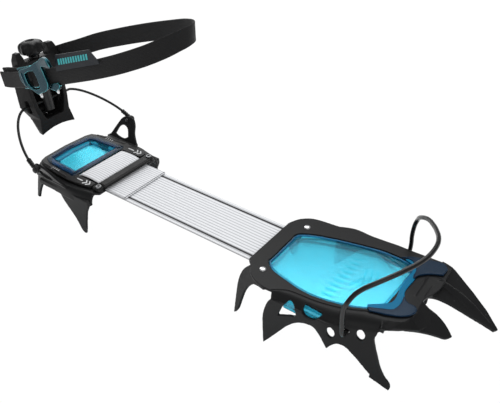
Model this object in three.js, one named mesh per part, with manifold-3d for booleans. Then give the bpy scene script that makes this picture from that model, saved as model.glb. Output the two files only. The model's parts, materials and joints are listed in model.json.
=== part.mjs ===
// Strap-on hiking crampon for a right boot: steel front plate, flexible linking band, steel heel
// plate, toe wire, heel cable with a screw-adjusted heel lever, and an ankle strap with a hook
// buckle.
// The finished meshes are in millimetres. +X to the toe, +Y to the wearer's left (the inner side of
// a right foot), +Z up. Origin: front edge of the rear cross member of the front plate, on the face
// the boot stands on.
// Parts are laid out in units of 0.92 mm, on layout axes parallel to the finished ones, and
// addMesh() moves them to the origin and turns them into millimetres.
import * as THREE from "three";
import { mergeVertices } from "three/addons/utils/BufferGeometryUtils.js";
import { ConvexGeometry } from "three/addons/geometries/ConvexGeometry.js";
import Module from "manifold-3d";

// ---- driving dimensions, layout units ----
const UNIT_MM = 0.92;
const ORIGIN_X = 143;
const STEEL = 2.2; // plate thickness; the plates lie on z = 0 and the boot stands on z = STEEL
const CLEARANCE = 0.35; // working gap
const BAND_HALF = 25; // half width of the linking band
const BAND_TOP = -0.35;
const BAND_BOTTOM = -1.75;
const BAND_BEND_X = 100;
const TOE_WIRE = { radius: 1.65, x: 220.5, z: -7.5 }; // x, z: pivot
const CABLE_RADIUS = 1.15;
const PIN = { x: -68.5, y: 52.6, z: 19 }; // heel cable pivot; y is taken to either side
const SCREW_TRAVEL = 4 / UNIT_MM; // travel of the heel adjuster either way
const STRAP_WIDTH = 14.4;
const STRAP_THICK = 1.6;

const RIGHT = -1; // signs of y
const LEFT = 1;
const SIDES = [LEFT, RIGHT];

const wasm = await Module();
wasm.setup();

// =================================================================================
// SOLIDS
// =================================================================================
const vec = (x, y, z) => new THREE.Vector3(x, y, z);

function toSolid(geometry) {
  let bare = geometry.index ? geometry.toNonIndexed() : geometry.clone();
  bare.deleteAttribute("normal");
  bare.deleteAttribute("uv");
  bare = mergeVertices(bare, 1e-4);
  return new wasm.Manifold(new wasm.Mesh({
    numProp: 3,
    vertProperties: bare.attributes.position.array,
    triVerts: new Uint32Array(bare.index.array),
  }));
}

function toGeometry(solid) {
  const mesh = solid.getMesh();
  const geometry = new THREE.BufferGeometry();
  const positions = new Float32Array(mesh.vertProperties);
  geometry.setAttribute("position", new THREE.BufferAttribute(positions, 3));
  geometry.setIndex(new THREE.BufferAttribute(new Uint32Array(mesh.triVerts), 1));
  return geometry;
}

const solidOf = (body) => (body.isBufferGeometry ? toSolid(body) : body);
const join = (...bodies) => bodies.map(solidOf).reduce((sum, next) => sum.add(next));
const cut = (body, ...tools) =>
  tools.map(solidOf).reduce((rest, tool) => rest.subtract(tool), solidOf(body));
// Booleans can leave loose crumbs; this keeps the main piece.
const largest = (solid) => solid.decompose().sort((a, b) => b.volume() - a.volume())[0];

// Copies moved by the working gap. Cutting with them leaves room round a solid.
const GAP_STEPS = [[1, 0, 0], [-1, 0, 0], [0, 1, 0], [0, -1, 0], [0, 0, 1], [0, 0, -1]];
const shifted = (solid, steps = GAP_STEPS) =>
  steps.map((step) => solid.translate(step.map((s) => s * CLEARANCE)));
const grow = (solid) => join(solid, ...shifted(solid));

function shapeOf(points, holes = []) {
  const flat = (list) => list.map(([x, y]) => new THREE.Vector2(x, y));
  const shape = new THREE.Shape(flat(points));
  shape.holes.push(...holes.map((hole) => new THREE.Path(flat(hole))));
  return shape;
}

// Plate drawn in its own plane at origin, extruded along xAxis x yAxis.
function panel(origin, xAxis, yAxis, points, depth, holes = [], bevel = 0) {
  const geometry = new THREE.ExtrudeGeometry(shapeOf(points, holes), {
    depth,
    bevelEnabled: bevel > 0,
    bevelThickness: bevel,
    bevelSize: bevel,
    bevelOffset: -bevel,
    bevelSegments: 1,
    curveSegments: 8,
  });
  const x = xAxis.clone().normalize();
  const normal = x.clone().cross(yAxis).normalize();
  const y = normal.clone().cross(x);
  return geometry.applyMatrix4(new THREE.Matrix4().makeBasis(x, y, normal).setPosition(origin));
}

// Flat plate with its outline in x, y.
const plate = (points, z0, z1, holes) =>
  panel(vec(0, 0, z0), vec(1, 0, 0), vec(0, 1, 0), points, z1 - z0, holes);
// Prism with its outline in x, z.
const prismY = (points, y0, y1) =>
  panel(vec(0, y1, 0), vec(1, 0, 0), vec(0, 0, 1), points, y1 - y0);

// Steel sheet whose outer face is the mean plane of points in space; outside is the way it faces.
function steelPanel(points, outside, holes = []) {
  const corners = points.map((p) => vec(...p));
  const centre = corners.reduce((sum, p) => sum.add(p), vec(0, 0, 0))
    .multiplyScalar(1 / corners.length);
  corners[0] = vec(...points[0]);
  const inward = vec(0, 0, 0); // Newell normal
  corners.forEach((a, i) => {
    const b = corners[(i + 1) % corners.length];
    inward.x += (a.y - b.y) * (a.z + b.z);
    inward.y += (a.z - b.z) * (a.x + b.x);
    inward.z += (a.x - b.x) * (a.y + b.y);
  });
  inward.normalize();
  if (inward.dot(vec(...outside)) > 0) inward.negate();
  const x = corners[1].clone().sub(corners[0]).normalize();
  x.sub(inward.clone().multiplyScalar(x.dot(inward))).normalize();
  const y = inward.clone().cross(x);
  const flatten = (p) => {
    const offset = vec(...p).sub(centre);
    return [offset.dot(x), offset.dot(y)];
  };
  const outline = points.map(flatten);
  const area = THREE.ShapeUtils.area(outline.map((p) => new THREE.Vector2(...p)));
  if (area < 0) outline.reverse();
  return panel(centre, x, y, outline, STEEL, holes.map((hole) => hole.map(flatten)));
}

function rod(start, end, radius, segments = 16, endRadius = radius) {
  const from = vec(...start);
  const to = vec(...end);
  const axis = to.clone().sub(from);
  const turn = new THREE.Quaternion()
    .setFromUnitVectors(vec(0, 1, 0), axis.clone().normalize());
  return new THREE.CylinderGeometry(endRadius, radius, axis.length(), segments)
    .applyQuaternion(turn)
    .translate((from.x + to.x) / 2, (from.y + to.y) / 2, (from.z + to.z) / 2);
}
const rodY = (x, z, y0, y1, ...size) => rod([x, y0, z], [x, y1, z], ...size);
const rodZ = ([x, y], z0, z1, ...size) => rod([x, y, z0], [x, y, z1], ...size);

const box = (x0, x1, y0, y1, z0, z1) =>
  new THREE.BoxGeometry(x1 - x0, y1 - y0, z1 - z0)
    .translate((x0 + x1) / 2, (y0 + y1) / 2, (z0 + z1) / 2);
const hull = (points) => new ConvexGeometry(points.map((p) => vec(...p)));
const curveThrough = (points) =>
  new THREE.CatmullRomCurve3(points.map((p) => vec(...p)), false, "centripetal");

// Round wire of eight sides along a smooth path.
function wire(points, radius, steps) {
  const circle = Array.from({ length: 8 }, (_, i) => {
    const angle = (2 * Math.PI * i) / 8;
    return [radius * Math.cos(angle), radius * Math.sin(angle)];
  });
  return new THREE.ExtrudeGeometry(shapeOf(circle), {
    steps, bevelEnabled: false, extrudePath: curveThrough(points),
  });
}

// Solid from a closed skin of triangles, turned right side out if need be.
function solidFromSkin(positions, indices) {
  const build = (index) => {
    const geometry = new THREE.BufferGeometry();
    const array = new Float32Array(positions);
    geometry.setAttribute("position", new THREE.BufferAttribute(array, 3));
    geometry.setIndex(index);
    return toSolid(geometry);
  };
  const solid = build(indices);
  if (solid.volume() >= 0) return solid;
  for (let i = 0; i < indices.length; i += 3) {
    [indices[i + 1], indices[i + 2]] = [indices[i + 2], indices[i + 1]];
  }
  return build(indices);
}

// Sheet through rows of outer-face points; offsets[k] leads from row k to the inner face.
function sheet(rows, offsets) {
  const lastRow = rows.length - 1;
  const columns = rows[0].length;
  const lastColumn = columns - 1;
  const positions = [];
  const indices = [];
  rows.forEach((row, k) => row.forEach((point) => {
    positions.push(...point, ...point.map((value, axis) => value + offsets[k][axis]));
  }));
  const at = (k, i, face) => (k * columns + i) * 2 + face;
  const quad = (a, b, c, d) => indices.push(a, b, c, a, c, d);
  for (let k = 0; k < lastRow; k++) {
    for (let i = 0; i < lastColumn; i++) {
      quad(at(k, i, 0), at(k + 1, i, 0), at(k + 1, i + 1, 0), at(k, i + 1, 0));
      quad(at(k, i, 1), at(k, i + 1, 1), at(k + 1, i + 1, 1), at(k + 1, i, 1));
    }
  }
  for (let k = 0; k < lastRow; k++) {
    const end = lastColumn;
    quad(at(k, 0, 0), at(k, 0, 1), at(k + 1, 0, 1), at(k + 1, 0, 0));
    quad(at(k, end, 0), at(k + 1, end, 0), at(k + 1, end, 1), at(k, end, 1));
  }
  for (let i = 0; i < lastColumn; i++) {
    const end = lastRow;
    quad(at(0, i, 0), at(0, i + 1, 0), at(0, i + 1, 1), at(0, i, 1));
    quad(at(end, i, 0), at(end, i, 1), at(end, i + 1, 1), at(end, i + 1, 0));
  }
  return solidFromSkin(positions, indices);
}

// Flat strip along a path, square to the path and as upright as it can be.
function ribbon(points, width, thick, steps) {
  const curve = curveThrough(points);
  const positions = [];
  const indices = [];
  for (let i = 0; i <= steps; i++) {
    const centre = curve.getPointAt(i / steps);
    const tangent = curve.getTangentAt(i / steps);
    const up = vec(0, 0, 1).sub(tangent.clone().multiplyScalar(tangent.z)).normalize();
    const side = up.clone().cross(tangent).normalize();
    for (const [a, b] of [[-1, -1], [1, -1], [1, 1], [-1, 1]]) {
      const corner = centre.clone()
        .addScaledVector(up, (a * width) / 2)
        .addScaledVector(side, (b * thick) / 2);
      positions.push(...corner.toArray());
    }
  }
  for (let i = 0; i < steps; i++) {
    for (let k = 0; k < 4; k++) {
      const a = i * 4 + k;
      const b = i * 4 + ((k + 1) % 4);
      indices.push(a, a + 4, b, b, a + 4, b + 4);
    }
  }
  const end = steps * 4;
  indices.push(0, 1, 2, 0, 2, 3);
  indices.push(end, end + 2, end + 1, end, end + 3, end + 2);
  return solidFromSkin(positions, indices);
}

// Outline scaled about the middle of its bounds so that the bounds draw in by margin all round.
function inset(points, margin) {
  const bounds = [0, 1].map((axis) => {
    const values = points.map((p) => p[axis]);
    return [Math.min(...values), Math.max(...values)];
  });
  return points.map((p) => bounds.map(([low, high], axis) => {
    const middle = (low + high) / 2;
    return middle + (p[axis] - middle) * (1 - (2 * margin) / (high - low));
  }));
}

// =================================================================================
// MESHES AND FINISHES
// =================================================================================
const part = new THREE.Group();
part.name = "crampon_right";

const FINISHES = {
  steel: { color: 0x26282a, roughness: 0.5, metalness: 0.75 },
  steelBright: { color: 0xd8dadc, roughness: 0.3, metalness: 0.9 },
  blue: { color: 0x3fc4dc, roughness: 0.32, metalness: 0 },
  black: { color: 0x17181a, roughness: 0.55, metalness: 0 },
  fabric: { color: 0xd6d8da, roughness: 0.75, metalness: 0.05 },
  webbing: { color: 0x1b1b1c, roughness: 0.9, metalness: 0 },
  teal: { color: 0x0e5a70, roughness: 0.28, metalness: 0.85 },
  wire: { color: 0x1a1b1c, roughness: 0.3, metalness: 0.7 },
  cable: { color: 0x141516, roughness: 0.45, metalness: 0.2 },
};

function addMesh(name, body, finish) {
  const geometry = toGeometry(solidOf(body))
    .translate(-ORIGIN_X, 0, -STEEL)
    .scale(UNIT_MM, UNIT_MM, UNIT_MM);
  geometry.computeVertexNormals();
  const material = new THREE.MeshStandardMaterial({ ...FINISHES[finish], name: finish });
  const mesh = new THREE.Mesh(geometry, material);
  mesh.name = name;
  part.add(mesh);
}

// Rounded edge of a plate, from the crease on its top face down to the top of a side flange.
// Crease and flange are [x, y]; side is the sign of y it faces.
function shoulder(crease, flange, side) {
  const inward = -side;
  const row = (share, z) => crease.map(([x, y], i) => [
    x + (flange[i][0] - x) * share, y + (flange[i][1] - y) * share, z,
  ]);
  return sheet(
    [
      crease.map(([x, y]) => [x, y + inward * 1.5, STEEL]),
      row(0, STEEL), row(0.42, 1.1), row(0.76, -1.2), row(0.95, -4.2), row(1, -8),
    ],
    [
      [0, 0, -STEEL], [0, 0, -STEEL], [0, inward * 0.6, -STEEL * 0.95],
      [0, inward * 1.5, -STEEL * 0.75], [0, inward * STEEL * 0.98, -0.5], [0, inward * STEEL, 0],
    ],
  );
}

// =================================================================================
// FRONT FRAME: the outer side of the foot is at -Y, the inner side at +Y
// =================================================================================
const BAND_RIVETS = [["right", [146.5, -30.2]], ["left", [146.5, 30.2]]]; // [x, y]
const rivetRods = (...size) => BAND_RIVETS.map(([, place]) => rodZ(place, ...size));

// [x, y]
const frontOutline = [
  [136.5, -31.5], [141, -38], [149, -43], [158.5, -45], [164, -44.4], [172.7, -38.6],
  [181, -37], [191.6, -36], [201.4, -34.2], [210.4, -31.4], [217.4, -28.5], [227.2, -24],
  [240, -22], [246, -21], [250, -19], [253, -12], [253.5, -2], [253, 8.5], [253.5, 12],
  [256, 18], [258, 30], [256, 50], [250, 53], [237, 51.5], [223, 50.5], [207, 50], [188, 49],
  [176, 48.4], [168, 46.4], [158, 43.5], [149, 42.6], [141, 38], [136.5, 32], [131.5, 26],
  [131.5, -26],
];
const frontWindow = [
  [144.4, -19.8], [146.4, -22.4], [151, -25.6], [160, -28.6], [174.5, -31.4], [187, -32.3],
  [199, -30.7], [210, -28], [219, -24.6], [228, -19], [234, -12], [235, 8], [235.4, 24],
  [235.2, 33], [232, 38], [225, 40], [217.4, 40.6], [205, 40], [189, 36.3], [172, 31.9],
  [159, 27.6], [149, 22.6], [145.6, 20.2], [143.8, 16.6],
];
const outerCrease = [
  [163.8, -44], [167, -41.6], [172.7, -38.4], [181, -36.8], [191.6, -35.8], [201.4, -34],
  [210.4, -31.2], [217.4, -28.3], [227.2, -23.5], [234, -22.2], [241, -21.6],
];
const outerFlangeTop = [
  [165.4, -47.9], [168.5, -47.6], [173.5, -47.2], [182, -46.4], [192.5, -45.6], [203, -44.8],
  [211.3, -43.6], [217.8, -40.9], [228.5, -36.3], [235.5, -33.3], [242.5, -30.4],
];
const innerCrease = [
  [166.4, 45.8], [171, 47.2], [176, 48.2], [188, 48.8], [207, 49.8], [223, 50.3],
  [237, 51.3], [250, 52.5],
];
const innerFlangeTop = [
  [169.4, 50.6], [173, 53.4], [177.2, 54.5], [188, 54.9], [207, 55.7], [223, 56.3],
  [237, 56.9], [249.5, 56.6],
];

// Flanges are [x, z] outlines laid on upright or leaning planes.
const onOuterRear = ([x, z]) => [x, -48.2 + (x - 161.5) * 0.0822, z];
const outerRearFlange = steelPanel([
  [166, -2.6], [163.3, -6], [161.1, -12], [159.2, -21.6], [159.2, -32], [160, -49.4],
  [164.4, -43.5], [172.9, -30.9], [180.1, -20.8], [186.1, -15.1], [193.2, -12.2],
  [198.3, -12.2], [201.7, -14.2], [205.3, -18], [210, -25.4], [212.4, -21.4], [212.4, -3.5],
].map(onOuterRear), [0.08, -1, 0]);

// Blade that carries the toe wire, with a small tooth and the large front tooth.
const outerFrontNormal = vec(-0.389, 0.904, -0.179).normalize();
const outerFrontPoint = vec(211.3, -43.9, -8);
function onOuterFront([x, z]) {
  const normal = outerFrontNormal;
  const point = outerFrontPoint;
  return [x, point.y - (normal.x * (x - point.x) + normal.z * (z - point.z)) / normal.y, z];
}
const outerFrontFlange = steelPanel([
  [209.4, -4.5], [209.2, -14], [211, -20], [213.6, -20.2], [216.6, -18.4], [220, -18.9],
  [227.6, -25], [233.7, -31.5], [238.4, -36.7], [240.2, -38.6], [240, -40.8], [246.6, -44.6],
  [254, -49.4], [254.4, -47.4], [248.5, -38.1], [244.5, -30], [239.7, -17.6], [237.8, -8.2],
  [238.6, -4.5],
].map(onOuterFront), [0.389, -0.904, 0.1]);

const onInner = ([x, z]) => [x, 54.2 + (x - 175) * 0.037 + (z + 5) * -0.03, z];
const innerFlange = steelPanel([
  [171, -3.5], [167, -9], [163, -17], [160.8, -26], [161.4, -44.5], [166, -40.5],
  [181, -20.5], [188, -16.2], [196, -15.4], [202, -17.6], [206, -21.5], [209.6, -25.6],
  [212, -22.6], [216, -20.4], [220, -19.6], [225, -22.4], [231, -30], [234, -38.6],
  [234.2, -41.4], [236.4, -44], [240.6, -49.2], [242.2, -46.4], [243.6, -31], [244.4, -18],
  [246, -9], [247.6, -3.5],
].map(onInner), [0, 1, 0]);

// Openings in the flanges, [x, z]
const slotOutline = (atX, atZ) => [
  [-1.9, 3.2], [-0.6, 4.2], [1.2, 3.2], [2.6, -2.6], [1.4, -4.2], [-0.6, -3.4],
].map(([x, z]) => [atX + x, atZ + z]);
const outerWindows = [
  [[171.2, -15.6], [184.6, -9.4], [183.9, -4], [178.8, 0.4], [175, -4.6], [173.3, -9]],
  [[188.9, -1.6], [190.4, 2.4], [202.4, 1.2], [202.6, -0.6], [199.8, -4.6], [191.9, -5.6]],
].map((outline) => prismY(outline, -60, -42));
const outerSlots = [
  prismY(slotOutline(211, -10.4), -60, -38),
  prismY(slotOutline(229.2, -8.4), -60, -28),
];
const innerOpenings = [
  [[172, -15], [184.6, -9.6], [184, -4.2], [178.8, -0.6]],
  [[189, -3], [191, 0.2], [202, -0.6], [200.4, -6], [191.6, -7]],
  slotOutline(211, -10.4),
  slotOutline(230.4, -9.4),
].map((outline) => prismY(outline, 48, 70));

// Tooth at a rear corner of the front plate.
const rearCornerTooth = (side) => steelPanel([
  [137, 31.2, 2], [130.6, 31, -4.9], [126.6, 31.8, -13.2], [125.6, 33.4, -19.5],
  [126, 36.2, -27], [127.6, 42.3, -42.6], [130.9, 42.6, -37.4], [133.4, 40.6, -28],
  [135.8, 38.9, -18.7], [139.8, 38.7, -11.5], [145.2, 40, -6], [150.7, 42.2, -3.1],
  [158, 45.2, -0.4], [158, 45.2, 2], [149, 42, 2],
].map(([x, y, z]) => [x, side * y, z]), [-0.5, side, -0.2]);

// Twin front points: flat blades bent down from the toe of the plate.
const outerPoint = steelPanel([
  [240, -31.5, -1.2], [247.4, -25.5, 0.6], [255.8, -16.8, -2.6], [260.6, -12.4, -5],
  [266, -8.2, -7.9], [270.9, -5, -10.7], [274.8, -2.4, -13.3], [277.3, 2.4, -14.4],
  [274.7, 4.6, -12.8], [269.2, 8, -9.1], [262.4, 9.6, -5.2], [256.4, 9.1, -1.8],
  [252.6, 8.3, 0.3], [247, 7.6, 2], [240, -6, 2.2], [238, -21, 2],
], [0.35, 0, 1]);
const innerPoint = steelPanel([
  [246, 9, 2.4], [252.2, 10.2, 1.3], [253.1, 13.7, 0.9], [256.5, 17.6, -0.2],
  [265.1, 21.2, -2.9], [274.5, 22.6, -5.9], [284, 23.6, -8.9], [293.5, 24.6, -11.9],
  [298.8, 24.8, -13.5], [300.5, 28.2, -14.1], [289, 37.6, -10.6], [276.2, 45.2, -6.6],
  [262.8, 52.1, -2.4], [255.2, 55.4, -0.2], [248, 55, 2], [245, 40, 2.6],
], [0.3, 0, 1]);
const innerPointRib = hull([
  [252, 31, 1.4], [252, 37, 1.2], [254, 34, 3], [282, 33.2, -6.4], [297.4, 27.2, -12.6],
  [296, 28.6, -12.4], [296, 26.4, -12.6], [270, 30.6, -3.6], [270, 38.2, -4.6],
  [270, 34.2, -1.6], [258, 31, 0.6], [258, 37, 0.2],
]);
// Sloping gusset from the toe of the plate on to the outer point.
const outerPointGusset = hull([
  [240, -23, 2.1], [246, -21.4, 2.1], [250, -19, 2.1], [253, -12, 2.1], [253.4, -2, 2.1],
  [253, 7, 2.1], [240, -23, 0], [253, 7, -0.2], [243, -30.2, -0.9], [247.4, -25.5, 0.5],
  [255.8, -16.8, -2.7], [260.6, -12.4, -5.1], [263, -3, -6.2], [262, 8.4, -5.2],
  [255.8, -15.8, -4.8], [247.4, -24.6, -1.7], [262, 7.6, -7.2],
]);

const frontFrame = cut(
  join(
    plate(frontOutline, 0, STEEL, [[...frontWindow].reverse()]),
    outerPointGusset,
    shoulder(outerCrease, outerFlangeTop, RIGHT),
    outerRearFlange,
    outerFrontFlange,
    shoulder(innerCrease, innerFlangeTop, LEFT),
    innerFlange,
    rearCornerTooth(LEFT),
    rearCornerTooth(RIGHT),
    outerPoint,
    innerPoint,
    innerPointRib,
  ),
  ...[[-60, -20], [40, 70]].map(([y0, y1]) =>
    rodY(TOE_WIRE.x, TOE_WIRE.z, y0, y1, TOE_WIRE.radius + CLEARANCE)),
  ...outerWindows,
  ...outerSlots,
  ...innerOpenings,
  ...rivetRods(-5, 5, 2.3, 16),
  ...rivetRods(0.8, STEEL + 0.06, 2.3, 20, 3.3), // countersinks
  // passage for the band under the cross member
  box(120, 160, -BAND_HALF - CLEARANCE, BAND_HALF + CLEARANCE, -60, 0),
);
addMesh("front_frame", frontFrame, "steel");
const frontFrameRoom = join(...shifted(frontFrame));

// ---- flexible anti-snow plate: body below the steel, lip in the window, tongue over the toe ----
const antiSnowBody = [ // [x, y]
  [145, -17.4], [151.6, -26.4], [162, -29.6], [171.6, -32.4], [171.9, -36.4],
  [203.1, -36.4], [203.2, -33], [214, -27.6], [224, -21], [231, -13], [240, -8],
  [241.5, 6], [241.5, 24], [240, 40], [232, 43.5], [219, 44.5], [200, 43], [180, 39],
  [160, 31.6], [148, 24], [145, 18.4],
];
const antiSnowTongue = [ // [x, y]
  [224, -19.6], [229, -21.6], [249.4, -14.2], [252, -10.4], [251.6, -4.2], [245.6, -3],
  [241.2, 2.4], [239.4, 14.8], [241.4, 27.8], [244.2, 32.4], [254.4, 38.6], [253.6, 47.2],
  [250.2, 50], [243, 48.6], [230, 44.4], [224, 38],
];
const frontAntiSnow = largest(cut(
  join(
    plate(antiSnowBody, -3.4, -0.4),
    plate(inset(frontWindow, 0.9), -2, STEEL + 0.4),
    plate(inset(antiSnowBody, 9), -7.5, -2.5),
    plate(antiSnowTongue, STEEL + 0.35, STEEL + 1.5),
    // front end of the lip, raised to meet the tongue
    plate(inset(frontWindow, 1).filter(([x]) => x > 205), 0, STEEL + 1.2),
    box(172.2, 202.8, -36.2, -34.4, -9, -1), // skirt inside the openings of the outer flange
  ),
  plate(inset(frontWindow, 6), STEEL - 1.2, STEEL + 3), // shallow dish inside the lip
  plate(inset(antiSnowBody, 12), -9, -5.2), // hollow underside
  frontFrameRoom,
  frontFrame,
));
addMesh("front_antisnow_plate", frontAntiSnow, "blue");

// ---- band clamp under the rear cross member, and its two rivets ----
const clampOutline = [ // [x, y]
  [133, -27], [139, -33.5], [151, -33.5], [151, -27.4], [143.8, -27], [143.8, 27],
  [151, 27.4], [151, 33.5], [139, 33.5], [133, 27],
];
// Raised pad at an end of the clamp, round the rivet.
const clampPad = (side) => plate(
  [[141.5, side * 33.5], [151, side * 33.5], [151, side * 27.4], [141.5, side * 27.4]],
  -3, -CLEARANCE,
);
const clampPlate = largest(cut(
  join(plate(clampOutline, -4.2, -2.1), clampPad(RIGHT), clampPad(LEFT)),
  ...rivetRods(-8, 5, 2.3, 16),
  frontFrameRoom,
  frontAntiSnow.translate([-0.3, 0, 0]),
  frontAntiSnow,
));
addMesh("band_clamp_plate", clampPlate, "steel");

for (const [name, place] of BAND_RIVETS) {
  addMesh("band_rivet_" + name, join(
    rodZ(place, -4.9, STEEL, 1.95, 20), // shank
    rodZ(place, 1.15, STEEL, 1.95, 20, 2.9), // countersunk cone
    rodZ(place, STEEL, STEEL + 0.8, 2.9, 20, 2), // head
    rodZ(place, -5.5, -4.45, 2.4, 20, 2.9), // lower head
  ), "steelBright");
}

// ---- toe wire: through the outer flange, up, over the toe and down to the inner flange ----
const WIRE_MIRROR_Y = 14; // the inner half mirrors the outer one: y becomes 14 - y
const outerWirePath = [
  [TOE_WIRE.x, -31.6, TOE_WIRE.z], [TOE_WIRE.x, -37, TOE_WIRE.z],
  [TOE_WIRE.x, -41.2, TOE_WIRE.z], [TOE_WIRE.x - 0.1, -43.9, TOE_WIRE.z + 0.9],
  [TOE_WIRE.x - 0.2, -45.2, TOE_WIRE.z + 3.4], [220.1, -45.9, 2], [219.8, -46.4, 8],
  [219.8, -46.7, 14], [220.4, -46.8, 20], [221.9, -46.3, 25.2], [224, -42.6, 30],
  [227.6, -38.6, 34.2], [231.7, -35, 37.2], [235.4, -31.1, 39.3], [239, -26.4, 41],
  [242.6, -21.4, 42.6], [245.8, -16.2, 44], [248.9, -10.5, 45.3], [251.5, -3.2, 46.2],
];
// Mirrors a point; the low ones also move out to reach the inner flange.
function innerWirePoint([x, y, z]) {
  const mirrored = Math.max(WIRE_MIRROR_Y - y, y > -38 && z < 0 ? 48 : 0);
  const low = z < 4 && mirrored > 45;
  const reach = y > -42 ? 3.4 : 1;
  return [x, low ? mirrored + reach : mirrored, z];
}
const toeWirePath = [
  ...outerWirePath, [252.6, 7, 46.6], ...[...outerWirePath].reverse().map(innerWirePoint),
];

function toeWireStop(y0, y1, boreY0, boreY1) {
  const { x, z, radius } = TOE_WIRE;
  return cut(rodY(x, z, y0, y1, 2.9), rodY(x, z, boreY0, boreY1, radius + 0.3));
}

// =================================================================================
// LINKING BAND
// =================================================================================
// Two lengths meet on the line the band bends along; their ends are tapered so both can turn.
function bandLength(direction, endX) {
  const middle = (BAND_TOP + BAND_BOTTOM) / 2;
  const taper = (BAND_TOP - BAND_BOTTOM) / 2;
  const tipX = BAND_BEND_X + direction * 0.25;
  const fullX = BAND_BEND_X + direction * (0.25 + taper);
  return prismY([
    [tipX, middle - 0.05], [fullX, BAND_BOTTOM], [endX, BAND_BOTTOM],
    [endX, BAND_TOP], [fullX, BAND_TOP], [tipX, middle + 0.05],
  ], -BAND_HALF, BAND_HALF);
}
addMesh("band_front", bandLength(1, 143.2), "fabric");
addMesh("toe_wire", wire(toeWirePath, TOE_WIRE.radius, 60), "wire");
addMesh("toe_wire_stop_right", toeWireStop(-35, -30.6, -40, -31.2), "steelBright");
addMesh("toe_wire_stop_left", toeWireStop(51.2, 46.8, 56, 47.4), "steelBright");
addMesh("band_rear", bandLength(-1, -49.4), "fabric");

const tailHalf = BAND_HALF - 0.5;
const hemHalf = BAND_HALF - 0.4;
addMesh("band_tail", box(-17.4, 0, -tailHalf, tailHalf, 0.05, 1.35), "fabric");
addMesh("band_tail_hem", box(0.35, 2.6, -hemHalf, hemHalf, 0.05, 1.75), "fabric");

// =================================================================================
// HEEL SECTION
// =================================================================================
const CROSSBAR_SCREWS = [["right", [-23, -30.4]], ["left", [-23, 30.4]]]; // [x, y]
const crossbarBores = (top) => CROSSBAR_SCREWS.map(([, place]) => rodZ(place, -5, top, 1.75, 14));

const heelOutline = [ // [x, y]
  [-100.2, -30], [-103, -16], [-103, 16], [-100.2, 30], [-90, 36.5], [-84, 39], [-56, 41.5],
  [-44, 41], [-36, 38.4], [-24, 36.2], [-19.6, 33.4], [-19.6, -33.4], [-24, -36.2],
  [-36, -38.4], [-44, -41], [-56, -41.5], [-84, -39], [-90, -36.5],
];
const trayHole = [ // [x, y]
  [-96.5, -21.5], [-98.5, 0], [-96.5, 21.5], [-86, 28], [-56, 29.5], [-54.6, 27],
  [-54.6, -27], [-56, -29.5], [-86, -28],
];
// Steel plate with the tray opening, and a notch in its front edge for the band.
const heelPlate = cut(
  plate(heelOutline, 0, STEEL, [[...trayHole].reverse()]),
  box(-31.4, -10, -26, 26, -5, 5),
);

// Side edge, [x, y of the crease, y of the flange top]
const heelEdge = [
  [-86, 38.6, 43.4], [-70, 40, 44], [-56, 41.2, 44.6], [-44, 40.8, 44.6], [-34, 38.2, 43.2],
  [-23, 35.8, 41.6],
];
const heelShoulder = (side) => shoulder(
  heelEdge.map(([x, crease]) => [x, side * crease]),
  heelEdge.map(([x, , flange]) => [x, side * flange]),
  side,
);

// Side flange parts, [x, z] outlines on a plane that flares downwards.
const heelFlangePart = (outline) => (side) => steelPanel(
  outline.map(([x, z]) => [x, side * (44.2 - (z + 6) * 0.036), z]), [0, side, 0],
);
const heelTooth = heelFlangePart([
  [-50, -3], [-49, -9], [-47, -14], [-42.6, -20], [-37.4, -29], [-31.6, -38.4],
  [-29.4, -38.9], [-28.6, -34], [-27, -24], [-24.6, -14], [-22.2, -8], [-22.6, -3],
]);
const heelRail = heelFlangePart([
  [-86, -3], [-86, -7.6], [-78, -9], [-66, -8.2], [-56, -8.4], [-47, -10], [-46, -3],
]);

// Narrow tooth bent down at a rear corner.
const rearHeelTooth = (side) => steelPanel([
  [-97.8, 32.4, 2], [-84, 39.4, 2], [-84.6, 40.6, -5], [-88.6, 41, -11.5],
  [-91.6, 42.2, -18.4], [-92.4, 43.6, -25.6], [-95.8, 43, -25.8], [-97.6, 40.6, -17],
  [-98.8, 37.2, -8], [-99.4, 33.4, -1],
].map(([x, y, z]) => [x, side * y, z]), [-0.4, side, 0]);

// Short skirt under the middle of the rear edge.
const rearSkirt = steelPanel(
  [[-102.6, -15, 2], [-103.2, -15, -5], [-103.2, 15, -5], [-102.6, 15, 2]], [-1, 0, 0],
);

// Lug for the cable: triangular ear leaning outwards, with a window, on a solid root.
const LUG_LEAN = Math.tan((27 * Math.PI) / 180);
const lugOutline = [ // [x, z]
  [-88, -0.5], [-85, 3.2], [-79.6, 12.6], [-74.6, 20.4], [-71.4, 23], [-67, 23.4],
  [-63.4, 21.4], [-61.8, 17.6], [-58.6, 9], [-52.8, 2.4], [-50.5, -0.5],
];
const lugWindow = [ // [x, z]
  [-80.6, 4.2], [-75.4, 13.2], [-71.8, 14.6], [-66.6, 13.4], [-62.6, 4.6], [-66, 3],
  [-76.6, 3],
];
const lugRoot = [
  [-88, 40.6, 0], [-88, 40.6, 2.2], [-50.5, 40.8, 0], [-50.5, 40.8, 2.2], [-88, 44, 0.2],
  [-88, 44.4, 2], [-50.5, 44, 0.2], [-50.5, 44.4, 2], [-86, 45.2, 2.8], [-52.6, 45.2, 2.8],
];
function lug(side) {
  const onLug = ([x, z]) => [x, side * (43.6 + (z - 1) * LUG_LEAN), z];
  return join(
    steelPanel(lugOutline.map(onLug), [0, side, 0.4], [lugWindow.map(onLug)]),
    hull(lugRoot.map(([x, y, z]) => [x, side * y, z])),
  );
}

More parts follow.
